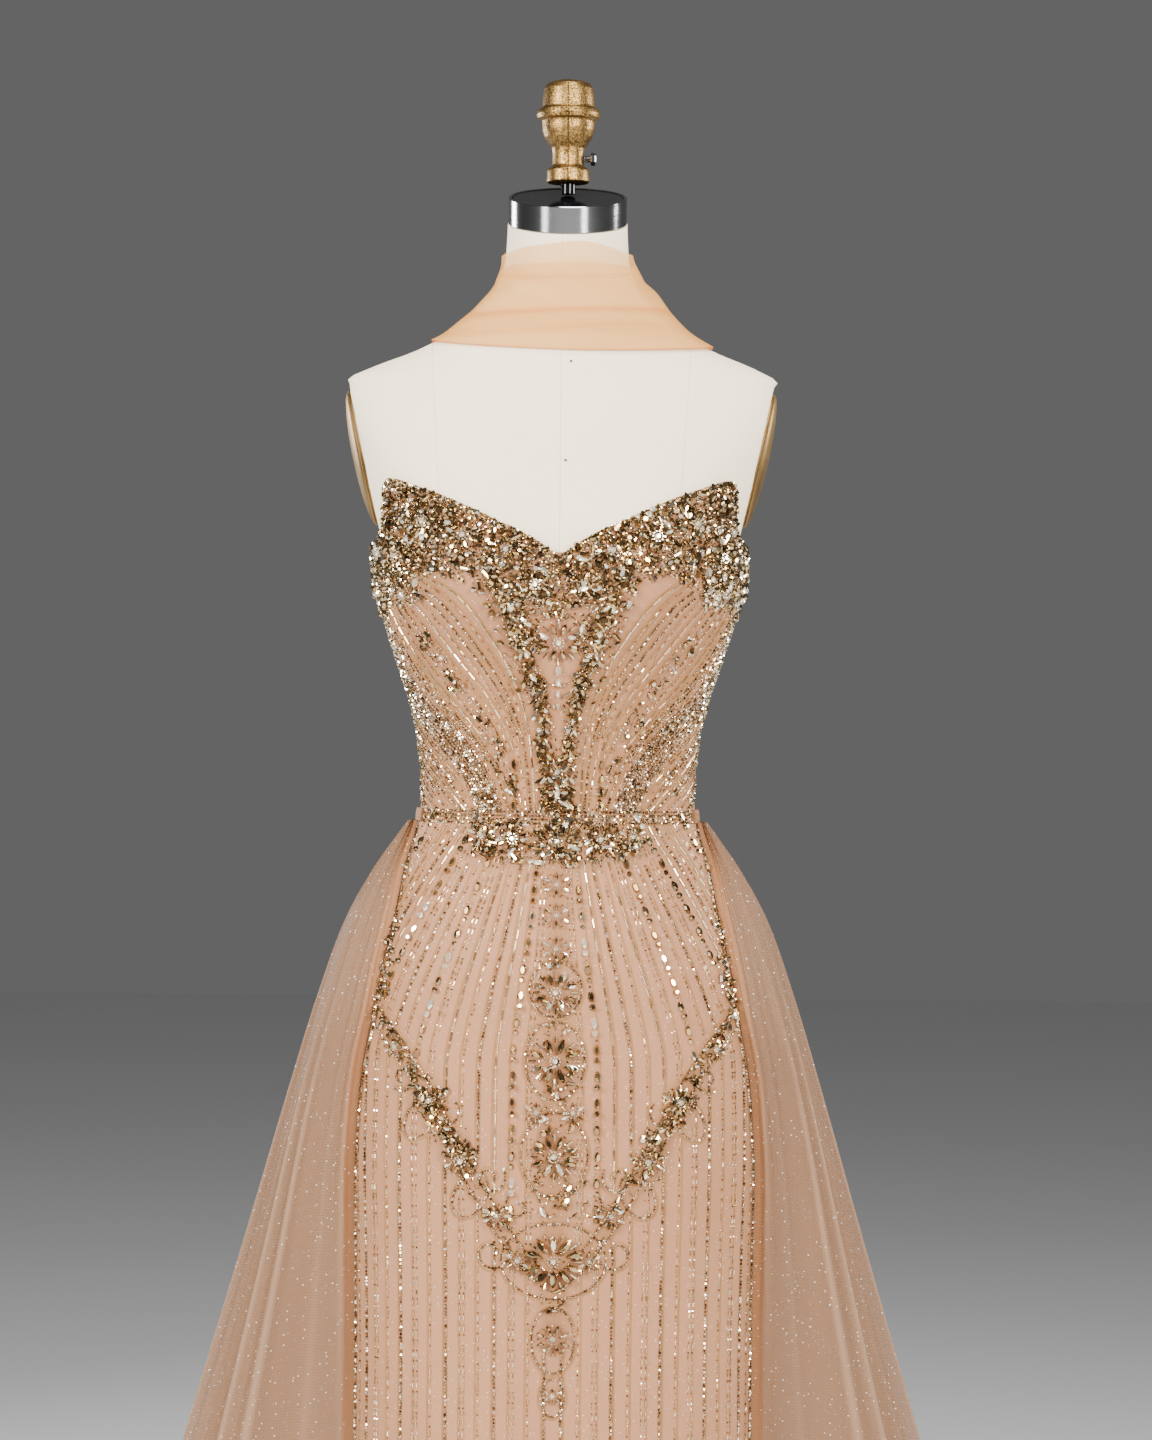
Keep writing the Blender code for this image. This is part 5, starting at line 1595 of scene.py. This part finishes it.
fine = np.linspace(0.0, 1.0, 42)
guide_lines = []
for guide in GUIDES:
    share = np.linspace(0.0, 1.0, len(guide.z))
    guide_lines.append((np.radians(smooth(share, guide.degrees, fine)), smooth(share, guide.z, fine)))
bodice_rows = [
    [a * (1 - k / count) + b * (k / count) for a, b in zip(*pair)]
    for count, pair in zip(GUIDE_ROWS, zip(guide_lines, guide_lines[1:]))
    for k in range(count)
]
band_row = sum(GUIDE_ROWS[:BAND_GUIDE])
BODICE_ROWS = ("bugle", "dot", "chain", "fine", "dot")
for number, (angle, z) in enumerate(bodice_rows):
    clear = strewn(angle, z) < ROW_CLEAR
    in_band = abs(number - band_row) <= BAND_ROWS
    if number % 2 == 1 and not in_band:
        clear &= fine < EARLY_END
    kept = split_line(gown_line(angle, z), clear)
    if in_band:
        lines["chain"] += kept
    else:
        sew_rows(BODICE_ROWS[number % 5], kept, 0.0023)
        if number % STRIP_EVERY in (1, 2):
            lines["strip"] += kept

back_rows = even_angles(BODICE_BACK_Z, BODICE_BACK_PITCH, math.radians(99.0), math.pi - 0.05)
for number, start in enumerate(back_rows):
    z = np.arange(WAIST_Z + 0.007, neckline(start) - 0.006, ROW_STEP)
    sew_rows(("chain", "bugle", "lanes")[number % 3], [gown_line(np.full(z.shape, start), z)])

edge_row = edge_line(np.arange(HEM_Z + 0.020, BAND_TOP_Z - BAND_HIGH - 0.004, ROW_STEP))
lines["chain"].append(beside(edge_row, -0.0040))
# painted shade: a dark net strip along the overskirt's edge, where its shade lies on the skirt
lines["strip"].append(beside(edge_row, -0.0030))

turn = np.linspace(0.0, 2 * math.pi, 61)
for loop in LOOPS:
    x, z = loop.wide * np.sin(turn), loop.high * np.cos(turn)
    place, out = front_line(
        loop.x + x * math.cos(loop.turn) - z * math.sin(loop.turn),
        loop.z + x * math.sin(loop.turn) + z * math.cos(loop.turn),
    )
    here = slice(0, 31 if loop.x == 0.0 else 61)
    sew_rows("fine", [(place[here], out[here])], -0.0024)
for scroll in SCROLLS:
    share = np.linspace(0.0, 1.0, 40)
    away = scroll.radius * (1 - 0.72 * share)
    at = scroll.start + 2 * math.pi * scroll.turns * share
    sew_rows("chain", [front_line(scroll.x + away * np.cos(at), scroll.z + away * np.sin(at))], 0.0028)
swag_x = np.linspace(0.004, 0.155, 70)
swag_z = smooth(SWAG_X, SWAG_Z, swag_x)
for away in (-0.0060, 0.0060):
    sew_rows("fine", [front_line(swag_x - 0.7 * away, swag_z + 0.7 * away)], math.copysign(0.0024, -away))

edge_angle = np.linspace(0.0, math.pi - 0.03, 240)
edging = [gown_line(edge_angle, neckline(edge_angle) - away) for away in (0.0012, 0.0040)]
waist_angle = np.linspace(0.0, BAND_START - 0.02, 70)
for away in (0.0036, 0.0004, -0.0028, -0.0060):
    edging.append(gown_line(waist_angle, np.full(waist_angle.shape, WAIST_Z + away)))

for name, kind, pattern, pitch, spread, wobble, spin in (
    ("chain_beads", "chain", "chain", 0.0030, 0.14, 0.35, 0.3),
    ("outline_beads", "fine", "fine", 0.0025, 0.16, 0.4, 0.5),
    ("bugles", "bugle", "bugle", 0.0098, 0.06, 0.11, 0.04),
    ("dotted_seeds", "dot", "dot", 0.0086, 0.14, 0.35, 0.3),
    ("dotted_bugles", "dot", "dot_bugle", 0.0086, 0.08, 0.30, 0.04),
    ("lane_seeds", "lanes", "lanes", 0.0088, 0.10, 0.30, 0.04),
    ("lane_bugles", "lanes", "lane_bugles", 0.0088, 0.08, 0.30, 0.05),
    ("linked_stones", "linked", "linked", 0.0215, 0.06, 0.34, 0.06),
):
    finish = bead_patterns[pattern][1]
    sewn(name, both_sides(lines[kind]), patterns[pattern], finish, pitch, len(name), spread, wobble, spin)
sewn("edging_beads", both_sides(edging), patterns["chain"], champagne, 0.0030, 15, 0.2, 0.4, 0.3)
couched("couched_threads", both_sides(lines["thread_and_shadow"]), 0.0020, 0.0006, thread_and_shadow)
couched("net_strips", both_sides(lines["strip"]), 0.0068, 0.0004, strip_net)

TEETH_POINTS = 110
zip_run = np.linspace(zip_z[0, 0], zip_z[-1, 0], TEETH_POINTS)
zip_place = moved_out(body, np.full(TEETH_POINTS, math.pi), zip_run, FORM_EASE + ZIP_THICK)
zip_line = (zip_place, np.tile((0.0, 1.0, 0.0), (TEETH_POINTS, 1)))
tooth = pattern_object("pattern_tooth", moved(barrel(0.0030, 0.0005, 5), turn=math.pi / 2, z=0.0002), silver)
sewn("zip_teeth", [zip_line], tooth, pearl, 0.0015, 17, 0.0, 0.0, 0.0)

# stones strewn over the thick beadwork
stones = pattern_collection(
    "strewn_stone",
    (cut_gem(0.0054, 0.0054, 0.0032, 8), champagne),
    (cut_gem(0.0090, 0.0044, 0.0028, 8, pointed=0.40), champagne),
    (cut_gem(0.0040, 0.0040, 0.0026, 7), champagne),
    (cut_gem(0.0066, 0.0046, 0.0028, 8), champagne),
    (moved(barrel(0.0080, 0.0012, 5, 0.1), z=0.0012), champagne),
    (cut_gem(0.0036, 0.0036, 0.0024, 6), champagne),
)
seeds = pattern_collection(
    "strewn_seed",
    (cut_gem(0.0018, 0.0018, 0.0013, 5), silver),
    (moved(barrel(0.0036, 0.0007, 4), z=0.0005), silver),
)

share = np.linspace(0.0, 1.0, 80)[:, None]
yoke_angle = np.radians(np.linspace(-102.0, 102.0, 260))[None, :]
yoke_z = WAIST_Z + 0.002 + (neckline(yoke_angle) - WAIST_Z - 0.004) * share
yoke_angle, yoke_z = np.broadcast_arrays(yoke_angle, yoke_z)
hip_angle, hip_z = np.meshgrid(np.radians(np.linspace(-88.0, 88.0, 200)), np.linspace(0.68, 1.0965, 160))
strew = {"Size": 1.08, "Spread": 0.28, "Wobble": 0.42, "Spin": 3.1}
for name, angle, z, start in (("bodice", yoke_angle, yoke_z, 31), ("skirt", hip_angle, hip_z, 41)):
    for piece, kinds, finish, pitch, lift, number in (
        ("stones", stones, champagne, 0.0050, 0.0008, start),
        ("seeds", seeds, silver, 0.0021, 0.0, start + 3),
    ):
        zone = grid_object(f"{name}_{piece}", gown_line(angle, z, lift)[0], cloth)
        add_value(zone, "density", strewn(angle, z))
        zones.sew(zone, Pattern=kinds, Pitch=pitch, Seed=number, Finish=finish, **strew)

# rosettes, leaves and single stones
ROSETTES = table(
    "x z radius petals",
    (0.000, 1.246, 0.017, 8), (0.000, 1.136, 0.012, 8), (0.000, 1.076, 0.018, 10), (0.036, 1.078, 0.012, 8),
    (0.062, 1.080, 0.011, 8), (0.000, 1.040, 0.011, 6), (0.000, 1.014, 0.011, 6), (0.000, 0.986, 0.011, 6),
    (0.000, 0.950, 0.017, 8), (0.000, 0.892, 0.020, 8), (0.015, 0.848, 0.010, 6), (0.000, 0.811, 0.018, 8),
    (0.000, 0.722, 0.023, 10), (0.030, 0.722, 0.010, 6), (0.000, 0.656, 0.013, 8), (0.000, 0.608, 0.007, 6),
    (0.156, 0.985, 0.012, 8), (0.151, 0.950, 0.010, 7), (0.133, 0.900, 0.010, 7), (0.104, 0.856, 0.014, 8),
    (0.078, 0.806, 0.013, 8), (0.048, 0.760, 0.011, 7), (0.046, 1.322, 0.012, 8), (0.080, 1.334, 0.013, 8),
    (0.112, 1.346, 0.013, 8), (0.134, 1.318, 0.013, 8), (0.022, 1.294, 0.012, 8), (0.128, 1.286, 0.012, 7),
)
SILVERY = 0.0115  # rosettes below this radius have paler petals
RAYED = 0.0165  # rosettes above this radius have rays between their petals
middle_dots = [
    moved(cut_gem(0.0018, 0.0018, 0.0030, 5), x=0.0044 * math.cos(t), y=0.0044 * math.sin(t))
    for t in np.arange(10) * math.pi / 5
]
placed = pattern_collection(
    "placed",
    (together(cut_gem(0.0058, 0.0058, 0.0042, 8, back=True), *middle_dots), champagne),
    (cut_gem(0.0108, 0.0046, 0.0034, 8, pointed=0.38, back=True), champagne),
    (cut_gem(0.0086, 0.0056, 0.0036, 10, pointed=0.20, back=True), champagne),
    (cut_gem(0.0028, 0.0028, 0.0020, 6), champagne),
    (moved(barrel(0.0090, 0.0009, 5, 0.08), z=0.0009), champagne),
    (cut_gem(0.0098, 0.0046, 0.0030, 8, pointed=0.10, table=0.62, back=True), champagne),
)
Stone = namedtuple("Stone", "x z turn size kind glint")
ROUND, PETAL, DROP, DOT, RAY, BAR = range(6)
# a glint number that gives a stone the painted white glint
BRIGHT = 0.95


def stone_out(x, z, turn, reach, *rest):
    """A stone that lies this far from a place and points away from it."""
    return Stone(x + reach * math.cos(turn), z + reach * math.sin(turn), turn, *rest)


def rosette(x, z, radius, petals):
    """A flower of cut stones: a round middle, long petals, and a dot or a ray between each two."""
    made = [Stone(x, z, 0.0, min(1.0, radius / 0.013), ROUND, BRIGHT)]
    for k in range(petals):
        turn = 2 * math.pi * (k + 0.5) / petals
        reach = radius * (0.74 + 0.10 * math.cos(2 * turn))
        glint = BRIGHT - 0.22 * (k % 3) if radius < SILVERY else (0.10 + 0.37 * k + 7.0 * (x + z)) % 1.0
        made.append(stone_out(x, z, turn, reach, radius / 0.0165, PETAL, glint))
        kind = RAY if radius > RAYED else DOT
        made.append(stone_out(x, z, turn + math.pi / petals, radius * 0.92, 0.8, kind, BRIGHT - 0.5 * glint))
    return made


def leaves(line):
    """Pairs of leaf stones along a stroke, like a spray."""
    length = math.hypot(line.x2 - line.x1, line.z2 - line.z1)
    way = math.atan2(line.z2 - line.z1, line.x2 - line.x1)
    made = []
    for k in range(int(length / LEAF_STEP)):
        t = (k + 0.5) * LEAF_STEP / length
        x, z = line.x1 + (line.x2 - line.x1) * t, line.z1 + (line.z2 - line.z1) * t
        for hand in (-1, 1):
            size = 0.80 + 0.22 * math.sin(7.0 * t + hand)
            glint = (0.29 * k + 0.5 * hand + 5.0 * x) % 1.0
            made.append(stone_out(x, z, way + hand * LEAF_SPREAD, 0.0050, size, PETAL, glint))
        made.append(Stone(x, z, way, 1.2, DOT, 0.4))
    return made


def placed_object(name, made, lift):
    """Points on the gown, one for each placed stone, with what the tree needs to know of it."""
    stone = Stone(*np.array(made).T)
    angle = angle_of(stone.x, stone.z)
    place, out = gown_line(angle, stone.z, lift)
    left = unit(way_round(gown_face, angle, stone.z))
    turn = stone.turn[:, None]
    along = left * np.cos(turn) + np.cross(out, left) * np.sin(turn)
    obj = add_object(name, place)
    add_value(obj, "facing", out, "FLOAT_VECTOR")
    add_value(obj, "along", along, "FLOAT_VECTOR")
    add_value(obj, "own_size", stone.size)
    add_value(obj, "own_glint", stone.glint)
    add_value(obj, "kind", stone.kind, "INT")
    return obj


LEAF_STEP = 0.0105
LEAF_SPREAD = 0.62
ARM_DROPS = 13
made = []
for row in ROSETTES:
    made += rosette(*row)
for line in (*STROKES[:3], *STROKES[8:11]):
    made += leaves(line)
arm = STROKES[0]
for k in range(ARM_DROPS):
    t = (k + 0.5) / ARM_DROPS
    x, z = arm.x1 + (arm.x2 - arm.x1) * t + 0.0150, arm.z1 + (arm.z2 - arm.z1) * t
    made.append(Stone(x, z, 0.5, 0.66 + 0.2 * math.sin(2.0 * k), DROP, (0.31 * k) % 1.0))
for k in range(4):
    made.append(Stone(0.036, 1.142 - 0.0115 * k, math.pi / 2, 0.95, BAR, (0.2 + 0.45 * k) % 1.0))
    made.append(Stone(0.0055, 1.125 - 0.0064 * k, 0.0, 0.95, BAR, (0.5 + 0.3 * k) % 1.0))
    made.append(Stone(0.0000, 1.222 - 0.0100 * k, math.pi / 2, 1.0 - 0.14 * k, DROP, BRIGHT))
made += [stone._replace(x=-stone.x, turn=math.pi - stone.turn) for stone in made if stone.x]
obj = placed_object("rosettes_and_leaves", made, 0.0018)
places.sew(obj, Pattern=placed, Size=1.0, Spread=0.08, Wobble=0.22, Spin=0.10, Seed=51, Finish=champagne)

for obj in (tooth, *patterns.values(), *stones.objects, *seeds.objects, *placed.objects):
    bpy.data.objects.remove(obj)
for collection in (stones, seeds, placed):
    bpy.data.collections.remove(collection)

# ------------------------------------------------------------------ the stage, the light and the camera
floor = add_object("floor", [(-12, -9, 0), (12, -9, 0), (12, 14, 0), (-12, 14, 0)], faces=[(0, 1, 2, 3)])
paper = Finish("studio_floor", Roughness=0.9)
pale = paper.mix(paper.noise(0.8), (0.80, 0.80, 0.80), (0.84, 0.84, 0.84))
floor.data.materials.append(paper.dress(Base_Color=pale))

world = bpy.data.worlds.new("studio")
world.use_nodes = True
background = world.node_tree.nodes["Background"]
background.inputs["Color"].default_value = (1.0, 1.0, 1.0, 1.0)
background.inputs["Strength"].default_value = 0.13
bpy.context.scene.world = world

LAMPS = table(
    "name x y z size watts",
    ("key", -2.3, -2.2, 2.4, 1.3, 205.0),
    ("fill", 1.75, -2.7, 2.3, 1.2, 158.0),
    ("side", 2.7, 0.8, 1.9, 0.8, 65.0),
    ("side_left", -2.3, 1.9, 1.6, 0.8, 55.0),
    ("top", 0.2, -0.9, 3.4, 1.0, 55.0),
    ("foot_left", -2.6, -2.4, 0.35, 0.7, 16.0),
    ("foot_right", 1.8, -2.6, 0.35, 0.6, 14.0),
    ("spark_left", -0.8, -3.2, 2.9, 0.10, 11.0),
    ("spark_right", 0.9, -3.1, 3.1, 0.10, 11.0),
)
AIM = Vector((0.0, 0.0, 1.25))
for row in LAMPS:
    data = bpy.data.lights.new(row.name, "AREA")
    data.shape = "DISK"
    data.size = row.size
    data.energy = row.watts
    lamp = bpy.data.objects.new(row.name, data)
    lamp.location = (row.x, row.y, row.z)
    lamp.rotation_euler = (AIM - lamp.location).to_track_quat("-Z", "Y").to_euler()
    bpy.context.scene.collection.objects.link(lamp)

CAMERA_PLACE = (0.0152, -3.6, 1.180)
CAMERA_LENS = 103.4
CAMERA_ROLL = math.radians(0.5)
camera_data = bpy.data.cameras.new("camera")
camera_data.lens = CAMERA_LENS
camera_data.sensor_width = 36.0
camera_data.clip_end = 60.0
camera = bpy.data.objects.new("camera", camera_data)
turn = Matrix.Rotation(math.pi / 2, 4, "X") @ Matrix.Rotation(CAMERA_ROLL, 4, "Z")
camera.matrix_world = Matrix.Translation(CAMERA_PLACE) @ turn
bpy.context.scene.collection.objects.link(camera)
bpy.context.scene.camera = camera
